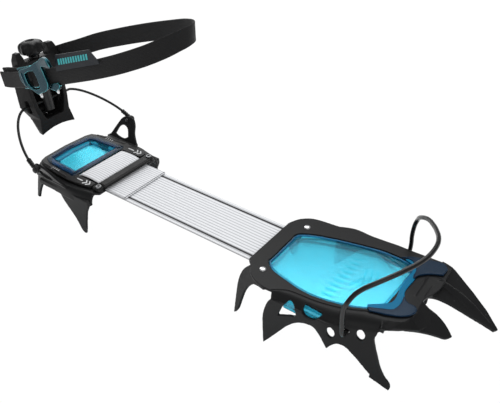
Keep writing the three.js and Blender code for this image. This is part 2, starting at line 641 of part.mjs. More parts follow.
const heelFrame = largest(cut(
  join(
    heelPlate,
    ...[heelShoulder, heelTooth, heelRail, rearHeelTooth].flatMap((make) => SIDES.map(make)),
    rearSkirt,
    ...SIDES.map(lug),
  ),
  rodY(PIN.x, PIN.z, -70, -45, 1.55),
  rodY(PIN.x, PIN.z, 45, 70, 1.55),
  // tunnel for the lower band layer
  box(-135, 40, -BAND_HALF - CLEARANCE, BAND_HALF + CLEARANCE, -20, 0),
  ...crossbarBores(8),
));
addMesh("heel_frame", heelFrame, "steel");
const heelFrameRoom = join(...shifted(heelFrame));

// ---- anti-snow tray inside the heel frame, above the band tunnel ----
const tray = largest(cut(
  plate(inset(trayHole, 0.7), 0.1, STEEL + 1),
  plate(inset(trayHole, 3.4), 1.5, STEEL + 3),
  heelFrameRoom,
));
addMesh("heel_antisnow_tray", tray, "blue");

// ---- moulded bezel on top of the steel, around the tray ----
const bezelOutline = [ // [x, y]
  [-100.6, -24], [-102, 0], [-100.6, 24], [-98.4, 30], [-88, 34], [-70, 36.6], [-54, 37.4],
  [-40, 35.8], [-30.6, 33.6], [-29.4, 31], [-29.4, 26.4], [-52.6, 26.4], [-54, 24],
  [-54, -24], [-52.6, -26.4], [-29.4, -26.4], [-29.4, -31], [-30.6, -33.6], [-40, -35.8],
  [-54, -37.4], [-70, -36.6], [-88, -34], [-98.4, -30],
];
const bezelHole = trayHole.map(([x, y]) => [Math.min(x, -56.6), y * 0.98]);
const bezel = largest(cut(
  plate(bezelOutline, STEEL + CLEARANCE, STEEL + 2.4),
  plate(bezelHole, 0, 8),
  heelFrameRoom,
  tray,
  ...shifted(tray, GAP_STEPS.slice(0, 5)), // every way but down
));
addMesh("heel_bezel", bezel, "black");

// ---- band layer on top of the heel plate, behind the crossbar ----
const bandWrap = box(-52.2, -28.8, -BAND_HALF, BAND_HALF, STEEL + CLEARANCE, STEEL + 1.7);
addMesh("band_wrap", bandWrap, "fabric");

// ---- crossbar over the front of the heel plate, and its screws ----
const crossbarOutline = [ // [x, y]
  [-27, -27.4], [-27, 27.4], [-29, 30], [-27.6, 33.6], [-20.4, 33.4], [-18.6, 31],
  [-20.4, 27.4], [-20.4, -27.4], [-18.6, -31], [-20.4, -33.4], [-27.6, -33.6], [-29, -30],
];
const crossbar = largest(cut(
  plate(crossbarOutline, 1.7, STEEL + 3.2),
  box(-40, -10, -BAND_HALF - CLEARANCE, BAND_HALF + CLEARANCE, 0, 1.9),
  heelFrameRoom,
  ...crossbarBores(12),
  bezel.translate([CLEARANCE, 0, 0]),
  bezel,
  bezel.translate([0, 0, 0.3]),
));
addMesh("crossbar", crossbar, "black");

for (const [name, place] of CROSSBAR_SCREWS) {
  addMesh("crossbar_screw_" + name, cut(
    join(
      rodZ(place, -1.6, STEEL + 3.8, 1.4, 14),
      rodZ(place, STEEL + 3.4, STEEL + 4.4, 2.6, 18),
    ),
    rodZ(place, STEEL + 3.8, STEEL + 5, 1.1, 6), // hexagon socket
  ), "steelBright");
}

// ---- pins in the lugs that hold the cable ends: head outside, collar inside ----
function cablePin(side) {
  const pinRod = (from, to, radius, segments) =>
    rodY(PIN.x, PIN.z, side * from, side * to, radius, segments);
  const pin = join(
    pinRod(PIN.y - 5.4, PIN.y + 5.6, 1.3, 14),
    pinRod(PIN.y + 5, PIN.y + 6.4, 2.5, 16),
    pinRod(PIN.y - 5.4, PIN.y - 4.4, 2.1, 16),
  );
  // The collar is trimmed where it would touch the leaning lug; the shank is spared.
  return largest(cut(pin, cut(heelFrameRoom, pinRod(40, 70, 1.5, 14))));
}
addMesh("cable_pin_left", cablePin(LEFT), "steel");
addMesh("cable_pin_right", cablePin(RIGHT), "steel");

// =================================================================================
// LEVER FRAME: depth runs backwards and height up along the screw, from the lever's front
// bottom edge. Lever points are [depth, y, height].
// =================================================================================
const LEVER_ORIGIN = vec(-104.4, 0, 22.7);
const LEVER_DEPTH = vec(-0.9887, 0, -0.15);
const LEVER_UP = vec(-0.15, 0, 0.9887);
const SCREW_DEPTH = 6.5;
const CABLE_HEIGHT = 27;

function leverPoint(depth, y, height) {
  const { x, z } = LEVER_ORIGIN.clone()
    .addScaledVector(LEVER_DEPTH, depth)
    .addScaledVector(LEVER_UP, height);
  return [x, y, z];
}
const leverHull = (points) => hull(points.map((p) => leverPoint(...p)));
const bothSides = (points) => points.flatMap(([depth, y, height]) => [
  [depth, y, height], [depth, -y, height],
]);
// Rods along the screw axis, and through the lever from front to back.
const screwRod = (from, to, ...size) =>
  rod(leverPoint(SCREW_DEPTH, 0, from), leverPoint(SCREW_DEPTH, 0, to), ...size);
const depthRod = (height, from, to, ...size) =>
  rod(leverPoint(from, 0, height), leverPoint(to, 0, height), ...size);

// =================================================================================
// HEEL CABLE
// =================================================================================
const [CABLE_X, , CABLE_Z] = leverPoint(SCREW_DEPTH, 0, CABLE_HEIGHT);

// Points from the side of the lever to the pin.
const strand = (side) => new THREE.CubicBezierCurve3(
  vec(CABLE_X, side * 26, CABLE_Z),
  vec(CABLE_X + 2.4, side * 40, CABLE_Z - 3),
  vec(-87.5, side * 55.2, 30.6),
  vec(PIN.x - 3.1, side * (PIN.y + 3.1), PIN.z + 1.9),
).getPoints(12).map((p) => p.toArray());
const cablePath = [
  ...strand(RIGHT).reverse(),
  ...[-20, -10, 0, 10, 20].map((y) => [CABLE_X, y, CABLE_Z]),
  ...strand(LEFT),
];
const cableAt = (radius) => toSolid(wire(cablePath, radius, 52));
const cableBore = cableAt(CABLE_RADIUS + 0.25);

// Eye terminal: ring round the pin outside the lug, with a sleeve over the cable end.
function cableEye(side) {
  const toLever = vec(-8.5, -1.8, 5.2).normalize();
  const sleeveEnd = [
    PIN.x + toLever.x * 2.6, side * (PIN.y + 2.9), PIN.z + toLever.z * 2.6,
  ];
  return cut(
    join(
      rodY(PIN.x, PIN.z, side * (PIN.y + 1.5), side * (PIN.y + 4.4), 3.4, 18),
      rod(strand(side)[11], sleeveEnd, 2.15, 12),
    ),
    rodY(PIN.x, PIN.z, side * 40, side * 70, 1.62),
  );
}

// Room for the swing of the cable: the lugs turned about the pins, in degrees.
const lugZone = heelFrameRoom.intersect(toSolid(box(-96, -44, -70, 70, -2, 32)));
const sweptLugs = [];
for (let angle = -36; angle <= 16; angle += 4) {
  sweptLugs.push(lugZone
    .translate([-PIN.x, 0, -PIN.z])
    .rotate([0, angle, 0])
    .translate([PIN.x, 0, PIN.z]));
}

const cableEnds = rodY(PIN.x, PIN.z, -80, 80, 3);
addMesh("heel_cable", largest(cut(cableAt(CABLE_RADIUS), cableEnds, ...sweptLugs)), "cable");
for (const [name, side] of [["left", LEFT], ["right", RIGHT]]) {
  addMesh("cable_eye_" + name, largest(cut(cableEye(side), cableBore, ...sweptLugs)), "wire");
}

// =================================================================================
// HEEL LEVER
// =================================================================================
const upperBody = leverHull(bothSides([
  [0, 16.2, 14], [13.6, 17.2, 14], [0, 18.2, 26], [14.5, 24, 27], [14.5, 22.6, 50],
  [0, 19.6, 50], [1, 17.4, 66], [13, 19, 66], [15, 14, 58],
]));
const flaredFoot = leverHull(bothSides([
  [0, 18.8, 0], [6, 17.4, 0], [0, 16.2, 15], [13.6, 17.2, 15], [13.2, 16.4, 10],
]));
const pocket = leverHull(bothSides([
  [-2, 9.5, 12], [12.2, 7.5, 13], [-2, 16.4, 50], [12.2, 15, 50], [-2, 14.2, 25],
  [12.2, 14, 26],
]));
const rearOpening = leverHull(bothSides([
  [11.9, 12, 16], [11.9, 14.4, 30], [11.9, 14.4, 49], [18, 12, 16], [18, 14.4, 30],
  [18, 14.4, 49],
]));
const footArch = depthRod(-56.8, -4, 20, 59.8, 96);

// Slot in a side wall that lets the cable travel with the nut.
function cableSlot(side) {
  const reach = SCREW_TRAVEL + CABLE_RADIUS + 0.5;
  return leverHull([11, 30].flatMap((y) => [-reach, reach].flatMap((height) =>
    [-1.7, 1.7].map((depth) => [SCREW_DEPTH + depth, side * y, CABLE_HEIGHT + height]))));
}
// Ear beside the knob; y is the outer face.
const ear = (side, y) => leverHull([
  [0.5, 12.8, 58], [12.5, 12.8, 58], [0.8, y, 58], [12.5, y, 58], [1.4, 13.4, 70],
  [11.6, 13.4, 70], [1.8, y - 0.6, 69], [11.4, y - 0.6, 69], [3.6, 14.4, 75],
  [9.6, 14.4, 75], [3.8, y - 2.4, 74.6], [9.4, y - 2.4, 74.6],
].map(([depth, width, height]) => [depth, side * width, height]));

const [STRAP_X, , STRAP_Z] = leverPoint(5.5, 0, 60); // strap pivot
const strapRod = (y0, y1, ...size) => rodY(STRAP_X, STRAP_Z, y0, y1, ...size);

// [name, height, depth of the screw's tip]
const COVER_SCREWS = [["lower", 14.2, 12.4], ["upper", 51.2, 9.9]];
const coverBores = (from) =>
  COVER_SCREWS.map(([, height]) => depthRod(height, from, 20, 1.45, 14));

const rearCover = cut(
  leverHull(bothSides([
    [14.9, 16.5, 12], [14.9, 18, 30], [14.9, 18, 53], [16.6, 15.5, 13], [16.6, 17, 30],
    [16.6, 17, 52],
  ])),
  ...coverBores(10),
);

const leverBody = largest(cut(
  join(
    join(upperBody, flaredFoot),
    ear(LEFT, 22.6),
    ear(RIGHT, 20.6),
    strapRod(15, 23.6, 5.2, 20), // strap bosses
    strapRod(-15, -26.2, 5.2, 20),
  ),
  pocket,
  footArch,
  cableSlot(LEFT),
  cableSlot(RIGHT),
  screwRod(48, 80, 2.75, 18), // screw bore in the head
  screwRod(4, 16, 2.5, 16), // lower bore on the screw axis
  strapRod(-40, 40, 1.65),
  rearOpening,
));
const leverShell = largest(cut(
  leverBody,
  ...coverBores(9.4),
  join(
    rearCover,
    ...[[0.3, 0, 0], [0.1, 0, 0.3], [0.1, 0, -0.3]].map((step) => rearCover.translate(step)),
  ),
));
addMesh("lever_shell", leverShell, "black");
addMesh("lever_rear_cover", rearCover, "black");
for (const [name, height, tip] of COVER_SCREWS) {
  addMesh("cover_screw_" + name, join(
    depthRod(height, tip, 17.2, 1.15, 12),
    depthRod(height, 16.9, 17.9, 2.2, 16),
  ), "steel");
}

// ---- barrel nut on the cable ----
const barrelNut = largest(cut(
  screwRod(17.6, 36.4, 5.1, 24),
  screwRod(17, 38, 2.5, 16),
  cableBore,
  rodY(CABLE_X, CABLE_Z, -8, 8, CABLE_RADIUS + 0.3, 14),
));
addMesh("barrel_nut", barrelNut, "steel");

// ---- adjuster screw above the cable, with a tapered tip and a collar ----
addMesh("adjuster_screw", largest(join(
  screwRod(29.4 + SCREW_TRAVEL, 72, 2.2, 18),
  screwRod(29.2 + SCREW_TRAVEL, 29.9 + SCREW_TRAVEL, 1.7, 14, 2.2),
  screwRod(66.6, 67.6, 4.6, 20),
)), "steel");

// ---- six-lobed knob ----
const knobOutline = Array.from({ length: 36 }, (_, i) => {
  const angle = (2 * Math.PI * i) / 36;
  const radius = 10.6 + 0.95 * Math.cos(6 * angle);
  return [radius * Math.cos(angle), radius * Math.sin(angle)];
});
const knobBase = vec(...leverPoint(SCREW_DEPTH, 0, 70.4));
addMesh("adjuster_knob", cut(
  join(
    panel(knobBase, vec(0, 1, 0), LEVER_DEPTH, knobOutline, 9.2, [], 0.9),
    screwRod(68, 71, 6.2, 24), // neck
    screwRod(79, 81.2, 6.6, 24, 5.2), // cap
  ),
  screwRod(60, 74.4, 2.5, 18), // screw socket
  screwRod(80.4, 83, 3.4, 20), // dimple on top
), "black");

// =================================================================================
// ANKLE STRAP
// =================================================================================
const strapPath = [
  [-82, -32.2, 89.6], [-66, -33, 94.6], [-54, -33.2, 98.6], [-28, -33, 108],
  [-1, -31.6, 118], [24, -27.6, 128], [44, -19.6, 137], [57, -9, 144.2], [61, 2, 147],
  [55, 13.4, 145.6], [41, 22, 141.4], [20, 28, 134.4], [-9, 31, 125], [-44, 31.4, 113],
  [-70, 30.6, 103.4], [-92, 28.6, 94], [-108, 26.4, 87.6],
  [STRAP_X - 1, 25.2, STRAP_Z + 1.4], [STRAP_X - 6, 25, STRAP_Z - 0.6],
];
const strap = cut(ribbon(strapPath, STRAP_WIDTH, STRAP_THICK, 44), strapRod(15, 40, 1.75));
addMesh("ankle_strap", strap, "webbing");

// Free end of the strap, running back from the buckle.
const strapTail = ribbon([
  [-83.4, -34.6, 89.2], [-95, -33.6, 85.4], [-107, -32.4, 81.4], [-117, -31.8, 78.6],
  [-126, -31.2, 76.6],
], STRAP_WIDTH - 0.6, STRAP_THICK - 0.2, 12);
addMesh("strap_tail", strapTail, "webbing");

// Short webbing from the lever's right rivet to the buckle.
const strapStub = cut(
  ribbon([
    [STRAP_X - 6, -28.3, STRAP_Z - 1.6], [STRAP_X, -28.3, STRAP_Z + 0.2],
    [-108, -28.5, 84], [-99.2, -28.8, 86.6],
  ], STRAP_WIDTH - 1, STRAP_THICK, 10),
  strapRod(-40, -15, 1.75),
);
addMesh("strap_stub", strapStub, "webbing");

// Rivets that the strap swings on.
addMesh("strap_rivet_left", join(
  strapRod(13.5, 27.6, 1.45),
  strapRod(26.9, 28.2, 3.3, 18),
), "steelBright");
addMesh("strap_rivet_right", join(
  strapRod(-29.4, -13.5, 1.45),
  strapRod(-30.4, -29.7, 3, 18),
  strapRod(-30, -29.2, 1.45),
), "steelBright");

// Patch on the outer face of the right side of the strap.
const strapUp = vec(-0.34, 0, 0.94).normalize();
const patchOutline = [ // [along the strap, up]
  [-25.4, -2.6], [26.4, -2.4], [25, 0.6], [20, 8.6], [-19.6, 9.6], [-25, 0.6],
];
const patch = largest(cut(
  panel(vec(-20, -33.95, 118), vec(0.94, 0.031, 0.34), strapUp, patchOutline, 1),
  strap,
  ...shifted(strap, [[0, -1, 0], [0, 1, 0], [0, 0, 1]]),
));
addMesh("strap_patch", patch, "webbing");

// =================================================================================
// BUCKLE: flat parts on the right side of the strap, outlines in [along the strap, up]
// =================================================================================
const buckleCentre = vec(-79, -35.6, 91.4);
const buckleAlong = vec(0.94, 0, 0.34).normalize();
const bucklePanel = (centre, outline, depth, holes, bevel) =>
  panel(centre, buckleAlong, strapUp, outline, depth, holes, bevel);
const buckleNormal = buckleAlong.clone().cross(strapUp); // points to -Y, away from the boot

const ringOutline = [
  [-9, 4], [-6.8, 7.6], [2, 9], [10.6, 10], [18, 11.4], [24.4, 11.4], [25.7, 8.1],
  [25.6, 1], [24.9, -6.9], [19.5, -10.9], [12.3, -12], [7.8, -12.8], [1.3, -8.9],
  [-4.6, -6.2], [-8.3, -2.1],
];
const ringHole = [
  [-0.4, -4.2], [2.4, -7.6], [10.4, -7.8], [11.8, -2], [11.4, 4.4], [7.4, 6], [-0.8, 4.4],
];
const hookOutline = [
  [14, 4], [15, 10], [24.1, 12.9], [33.3, 15], [38.9, 12.6], [39.9, 7.1], [36.7, 6],
  [30, 8.2], [26.6, 8.2], [24.8, 4], [20, 1],
];
const ringBack = buckleCentre.clone().addScaledVector(buckleNormal, -1.3);
const hookRing = join(
  bucklePanel(ringBack, ringOutline, 2.6, [ringHole], 0.45),
  bucklePanel(ringBack, hookOutline, 2.6, [], 0.45),
).translate([0, -2, 0]);
addMesh("buckle_hook_ring", hookRing, "teal");

// Flat base with two slots.
const baseOutline = [
  [-21.6, -8.8], [-21.6, 8.8], [-16.6, 9.2], [-2, 9.2], [-2, -9.2], [-16.6, -9.2],
];
const baseSlots = [
  [[-19.2, -7], [-16.6, -7], [-16.6, 7], [-19.2, 7]],
  [[-12.8, -7.6], [-5, -7.6], [-5, 7.6], [-12.8, 7.6]],
];
const baseBack = buckleCentre.clone()
  .add(vec(0, 5.2, 0))
  .addScaledVector(buckleNormal, -0.9);
addMesh("buckle_base", largest(cut(
  bucklePanel(baseBack, baseOutline, 1.8, baseSlots),
  grow(strapStub),
  grow(strapTail),
  grow(strap),
)), "teal");

// Small tongue below the hook.
const catchOutline = [
  [20.7, -8.2], [25.2, -6.6], [34.7, -6.4], [36.2, -9], [33.1, -11.6], [29.8, -12.2],
  [29.2, -14], [27.8, -12.4], [22.1, -10.9],
];
const catchBack = vec(buckleCentre.x, -34, buckleCentre.z);
addMesh("buckle_catch", largest(cut(
  bucklePanel(catchBack, catchOutline, 1.85, [], 0.3),
  grow(strap),
  grow(patch),
  grow(hookRing),
)), "teal");

export default part;
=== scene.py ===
"""A strap-on crampon: toothed front and heel plates joined by a woven band, with a toe wire,
heel cable, heel lever and ankle strap.

+x runs from heel to toe, +y is the wearer's left and +z is up. Shapes are drawn in the layout
units of the CAD source and turned into metres when they become meshes.
"""
import json
import math

import bmesh
import bpy
import numpy as np
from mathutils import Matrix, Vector
from mathutils.geometry import tessellate_polygon
from numpy.linalg import norm


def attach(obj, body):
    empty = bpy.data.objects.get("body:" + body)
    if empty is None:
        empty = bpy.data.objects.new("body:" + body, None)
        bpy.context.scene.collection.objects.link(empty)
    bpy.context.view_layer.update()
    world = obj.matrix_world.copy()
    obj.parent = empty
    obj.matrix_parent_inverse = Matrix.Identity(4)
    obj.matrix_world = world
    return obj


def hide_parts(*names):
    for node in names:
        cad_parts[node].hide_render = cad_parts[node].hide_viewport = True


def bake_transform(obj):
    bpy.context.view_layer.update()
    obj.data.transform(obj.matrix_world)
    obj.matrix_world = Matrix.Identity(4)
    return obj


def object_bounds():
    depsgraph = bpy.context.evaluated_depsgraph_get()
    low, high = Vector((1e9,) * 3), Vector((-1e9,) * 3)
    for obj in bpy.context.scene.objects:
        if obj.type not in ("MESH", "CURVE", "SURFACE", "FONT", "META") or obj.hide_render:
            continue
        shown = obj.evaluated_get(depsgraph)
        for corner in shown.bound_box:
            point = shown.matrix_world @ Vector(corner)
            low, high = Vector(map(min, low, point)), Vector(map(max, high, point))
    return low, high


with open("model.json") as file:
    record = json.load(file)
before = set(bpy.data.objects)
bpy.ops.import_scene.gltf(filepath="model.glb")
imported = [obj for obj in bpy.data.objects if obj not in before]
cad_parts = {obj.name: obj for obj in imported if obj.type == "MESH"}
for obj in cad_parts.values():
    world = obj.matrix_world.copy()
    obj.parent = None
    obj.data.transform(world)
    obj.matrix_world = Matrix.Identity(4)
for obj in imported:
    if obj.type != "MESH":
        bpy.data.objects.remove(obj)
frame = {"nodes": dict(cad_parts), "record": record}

CAD_LO, CAD_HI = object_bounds()
NODES = frame["nodes"]
SCENE = bpy.context.scene

UNIT = 0.92e-3  # metres in one layout unit
STEEL = 2.2  # sheet thickness; the plates lie from z = 0 to z = STEEL
ORIGIN = (143.0, 0, STEEL)  # the layout point at the scene's origin
BAND_HALF = 25  # half the band's width
CLEARANCE = 0.35
SIDES = ((-1, "right"), (1, "left"))  # sign of y, name


def to_m(points):
    return (np.asarray(points, float) - ORIGIN) * UNIT


def vec(*values):
    return np.array(values, float)


def unit(vector):
    vector = np.asarray(vector, float)
    return vector / max(norm(vector), 1e-12)


# ------------------------------------------------------------------ outlines
LONG_SIDE, STRAIGHT_END = 13, 4.5  # sides over LONG_SIDE curve only within STRAIGHT_END of an end


def smooth(points, steps=6, corner=52, closed=True):
    """A smooth curve through points; a turn sharper than corner degrees stays a corner."""
    knots = [np.array(p, float) for p in points]
    if closed:
        filled = []
        for i, start in enumerate(knots):
            end = knots[(i + 1) % len(knots)]
            filled.append(start)
            length = norm(end - start)
            if length > LONG_SIDE:
                filled.append(start + (end - start) * STRAIGHT_END / length)
                filled.append(end + (start - end) * STRAIGHT_END / length)
        knots = filled
    count = len(knots)
    sharp = []
    for i in range(count):
        before, after = knots[i] - knots[i - 1], knots[(i + 1) % count] - knots[i]
        cosine = np.clip(np.dot(unit(before), unit(after)), -1, 1)
        sharp.append(math.degrees(math.acos(cosine)) > corner)
    if not closed:
        sharp[0] = sharp[-1] = True

    def tangent(i, forward):
        before, after = knots[i] - knots[i - 1], knots[(i + 1) % count] - knots[i]
        if sharp[i]:
            return unit(after if forward else before)
        len1, len2 = norm(before), norm(after)
        return unit(before / len1 * len2 + after / len2 * len1)

    curve = []
    for i in range(count if closed else count - 1):
        j = (i + 1) % count
        start, end = knots[i], knots[j]
        length = norm(end - start)
        leave, arrive = tangent(i, True) * length, tangent(j, False) * length
        for k in range(steps):
            t = k / steps
            curve.append(
                (2 * t**3 - 3 * t**2 + 1) * start + (t**3 - 2 * t**2 + t) * leave
                + (-2 * t**3 + 3 * t**2) * end + (t**3 - t**2) * arrive
            )
    if not closed:
        curve.append(knots[-1])
    return curve


def path_lengths(path):
    """Distance along the path to each of its points."""
    return np.concatenate([[0], np.cumsum(norm(np.diff(path, axis=0), axis=1))])


def resample(path, count):
    """count points at even spacing along an open path."""
    path = np.array(path, float)
    along = path_lengths(path)
    wanted = np.linspace(0, along[-1], count)
    return np.stack([np.interp(wanted, along, path[:, k]) for k in range(path.shape[1])], axis=1)


def offset_loop(points, distance):
    """A plan outline moved inwards along its own normals; it may run either way round."""
    loop = np.array([p[:2] for p in points], float)
    x, y = loop[:, 0], loop[:, 1]
    area = 0.5 * np.sum(x * np.roll(y, -1) - np.roll(x, -1) * y)
    moved = []
    for i in range(len(loop)):
        before = unit(loop[i] - loop[i - 1])
        after = unit(loop[(i + 1) % len(loop)] - loop[i])
        mean = unit(before + after)
        normal = vec(-mean[1], mean[0]) * (1 if area > 0 else -1)
        mitre = max(0.5, math.sqrt(max((1 + np.dot(before, after)) / 2, 0.05)))
        moved.append(loop[i] + normal * distance / mitre)
    return moved


def at_height(loop, z):
    return [vec(p[0], p[1], z) for p in loop]


def mirrored(points, side):
    """Points drawn on the left, put on the given side."""
    return [(p[0], side * p[1], *p[2:]) for p in points]


# ------------------------------------------------------------------ shells: (verts, faces)
def shell(outer, offset, holes=()):
    """A flat outline with holes, thickened by offset."""
    loops = [[np.array(p, float) for p in loop] for loop in (outer, *holes)]
    flat = [p for loop in loops for p in loop]
    triangles = tessellate_polygon([[Vector(p) for p in loop] for loop in loops])
    count = len(flat)
    back = [p + np.array(offset, float) for p in flat]
    faces = [tuple(t) for t in triangles]
    faces += [tuple(i + count for i in reversed(t)) for t in triangles]
    start = 0
    for loop in loops:
        size = len(loop)
        for i in range(size):
            a, b = start + i, start + (i + 1) % size
            faces.append((a, b, b + count, a + count))
        start += size
    return flat + back, faces


def plate(points, z0, z1, holes=(), corner=52):
    outline = at_height(smooth(points, corner=corner), z1)
    return shell(outline, (0, 0, z0 - z1), [at_height(smooth(h, corner=corner), z1) for h in holes])


def panel(points, outside):
    """A steel sheet in the plane nearest the points, thickened away from outside."""
    points = [np.array(p, float) for p in points]
    centre = sum(points) / len(points)
    normal = np.zeros(3)
    for i, p in enumerate(points):
        normal += np.cross(p - centre, points[(i + 1) % len(points)] - centre)
    normal = unit(normal)
    if np.dot(normal, outside) > 0:
        normal = -normal
    flat = [p - normal * np.dot(p - centre, normal) for p in points]
    return shell(smooth(flat), normal * STEEL)


def grid_shell(outer_rows, inner_rows):
    rows, cols = len(outer_rows), len(outer_rows[0])
    verts = [p for row in outer_rows for p in row] + [p for row in inner_rows for p in row]
    back = rows * cols
    faces = []
    for k in range(rows - 1):
        for i in range(cols - 1):
            a, b = k * cols + i, k * cols + i + 1
            c, d = b + cols, a + cols
            faces += [(a, b, c, d), (d + back, c + back, b + back, a + back)]
    for k in range(rows - 1):
        a, b = k * cols, (k + 1) * cols
        faces.append((a, b, b + back, a + back))
        a, b = a + cols - 1, b + cols - 1
        faces.append((b, a, a + back, b + back))
    for i in range(cols - 1):
        faces.append((i + 1, i, i + back, i + 1 + back))
        a = (rows - 1) * cols + i
        faces.append((a, a + 1, a + 1 + back, a + back))
    return verts, faces


BEND_ROWS, BEND_FOOT, BEND_LEAD = 12, -8.0, 1.8  # steps, lowest z, overlap with the plate


def bend_shell(crease, top, inward, cols=60):
    """A rolled edge from a plate's crease line down to the flange's top line."""
    creases = resample(smooth(crease, closed=False), cols)
    tops = resample(smooth(top, closed=False), cols)
    height = STEEL - BEND_FOOT
    lead = creases + [0, inward * BEND_LEAD]
    outer, inner = [at_height(lead, STEEL)], [at_height(lead, 0)]
    for k in range(BEND_ROWS + 1):
        angle = math.pi / 2 * k / BEND_ROWS
        outer_row, inner_row = [], []
        for start, end in zip(creases, tops):
            out = end - start
            reach = max(norm(out), 0.5)
            z = STEEL - height * (1 - math.cos(angle))
            point = start + out * math.sin(angle)
            normal_out, normal_z = math.sin(angle) / reach, math.cos(angle) / height
            length = math.hypot(normal_out, normal_z)
            outer_row.append(vec(*point, z))
            point = point - out / reach * normal_out / length * STEEL
            inner_row.append(vec(*point, z - normal_z / length * STEEL))
        outer.append(outer_row)
        inner.append(inner_row)
    return grid_shell(outer, inner)


def ring_quads(rings, size):
    """Faces between successive closed rings of size vertices."""
    faces = []
    for k in range(rings - 1):
        for i in range(size):
            j = (i + 1) % size
            faces.append((k * size + i, k * size + j, (k + 1) * size + j, (k + 1) * size + i))
    return faces


def capped_rings(rings, size):
    last = (rings - 1) * size
    caps = [tuple(reversed(range(size))), tuple(last + i for i in range(size))]
    return ring_quads(rings, size) + caps


def rod(start, end, radius, seg=28):
    start, end = np.array(start, float), np.array(end, float)
    axis = unit(end - start)
    x = unit(np.cross(axis, (0, 0, 1) if abs(axis[2]) < 0.9 else (1, 0, 0)))
    y = np.cross(axis, x)
    verts = []
    for share in (0, 1):
        for i in range(seg):
            angle = 2 * math.pi * i / seg
            spoke = x * math.cos(angle) + y * math.sin(angle)
            verts.append(start + (end - start) * share + spoke * radius)
    return verts, capped_rings(2, seg)


def box(x0, x1, y0, y1, z0, z1):
    verts = [vec(x, y, z) for x in (x0, x1) for y in (y0, y1) for z in (z0, z1)]
    return verts, [(0, 1, 3, 2), (4, 6, 7, 5), (0, 4, 5, 1),
                   (2, 3, 7, 6), (0, 2, 6, 4), (1, 5, 7, 3)]


def take(work):
    """The shell held by a bmesh, which is freed."""
    work.verts.index_update()
    got = [vec(*v.co) for v in work.verts], [tuple(v.index for v in f.verts) for f in work.faces]
    work.free()
    return got


def hull(points):
    work = bmesh.new()
    for p in points:
        work.verts.new(tuple(map(float, p)))
    bmesh.ops.convex_hull(work, input=work.verts)
    loose = [v for v in work.verts if not v.link_faces]
    bmesh.ops.delete(work, geom=loose, context="VERTS")
    return take(work)


def bisected(part, xs):
    """The same closed shell with extra cuts across x, so that it can be bent."""
    work = bmesh.new()
    made = [work.verts.new(tuple(v)) for v in part[0]]
    for face in part[1]:
        work.faces.new([made[i] for i in face])
    for x in xs:
        geometry = work.verts[:] + work.edges[:] + work.faces[:]
        bmesh.ops.bisect_plane(work, geom=geometry, plane_co=(x, 0, 0), plane_no=(1, 0, 0))
    return take(work)


def tube(path, radius, seg=20, steps=None):
    """Round tube with domed ends; radius may be a function of (length along, angle)."""
    path = resample(path, steps) if steps else np.array(path, float)
    radius_at = radius if callable(radius) else lambda along, angle: radius
    tangents = np.gradient(path, axis=0)
    tangents /= norm(tangents, axis=1)[:, None]
    first = tangents[0]
    normal = unit(np.cross(first, (0, 0, 1) if abs(first[2]) < 0.9 else (0, 1, 0)))
    verts = []
    along = path_lengths(path)
    for k, tangent in enumerate(tangents):
        normal = unit(normal - tangent * np.dot(normal, tangent))
        binormal = np.cross(tangent, normal)
        for i in range(seg):
            angle = 2 * math.pi * i / seg
            spoke = normal * math.cos(angle) + binormal * math.sin(angle)
            verts.append(path[k] + spoke * radius_at(along[k], angle))
    faces = ring_quads(len(path), seg)
    for end, sign in ((0, -1), (len(path) - 1, 1)):
        ring = list(range(end * seg, end * seg + seg))
        previous = ring
        for share in (0.5, 0.85):
            rise = math.sin(share * math.pi / 2) * radius_at(along[end], 0) * 0.55
            shrink = math.cos(share * math.pi / 2)
            new = []
            for i in ring:
                spoke = verts[i] - path[end]
                verts.append(path[end] + spoke * shrink + tangents[end] * sign * rise)
                new.append(len(verts) - 1)
            for i in range(seg):
                j = (i + 1) % seg
                faces.append((previous[i], previous[j], new[j], new[i])[::sign])
            previous = new
        faces.append(tuple(previous)[::sign])
    return verts, faces


def lathe(profile, centre, axis, seg=48, reshape=None):
    """Closed profile of (radius, height) turned about an axis.

    reshape(angle, radius, height) may change the radius."""
    centre, axis = np.array(centre, float), unit(axis)
    x = unit(np.cross(axis, (0, 1, 0) if abs(axis[1]) < 0.9 else (1, 0, 0)))
    y = np.cross(axis, x)
    verts, faces = [], []
    count = len(profile)
    for i in range(seg):
        angle = 2 * math.pi * i / seg
        for radius, height in profile:
            if reshape:
                radius = reshape(angle, radius, height)
            spoke = x * math.cos(angle) + y * math.sin(angle)
            verts.append(centre + axis * height + spoke * max(radius, 1e-3))
    for i in range(seg):
        j = (i + 1) % seg
        for k in range(count):
            m = (k + 1) % count
            faces.append((i * count + k, j * count + k, j * count + m, i * count + m))
    return verts, faces


def merge(parts):
    verts, faces = [], []
    for part_verts, part_faces in parts:
        start = len(verts)
        verts += list(part_verts)
        faces += [tuple(i + start for i in face) for face in part_faces]
    return verts, faces


# ------------------------------------------------------------------ Blender objects
def link(name, verts, faces):
    mesh = bpy.data.meshes.new(name)
    mesh.from_pydata([tuple(v) for v in to_m(verts)], [], [tuple(f) for f in faces])
    mesh.validate()
    obj = bpy.data.objects.new(name, mesh)
    SCENE.collection.objects.link(obj)
    return obj


def fix_normals(obj, weld=None):
    work = bmesh.new()
    work.from_mesh(obj.data)
    if weld:
        bmesh.ops.remove_doubles(work, verts=work.verts, dist=weld)
    bmesh.ops.recalc_face_normals(work, faces=work.faces)
    work.to_mesh(obj.data)
    work.free()


def solid(name, parts, weld=None):
    obj = link(name, *merge(parts))
    fix_normals(obj, weld)
    return obj


def add_modifier(obj, kind, **settings):
    modifier = obj.modifiers.new(kind, kind)
    for key, value in settings.items():
        setattr(modifier, key, value)


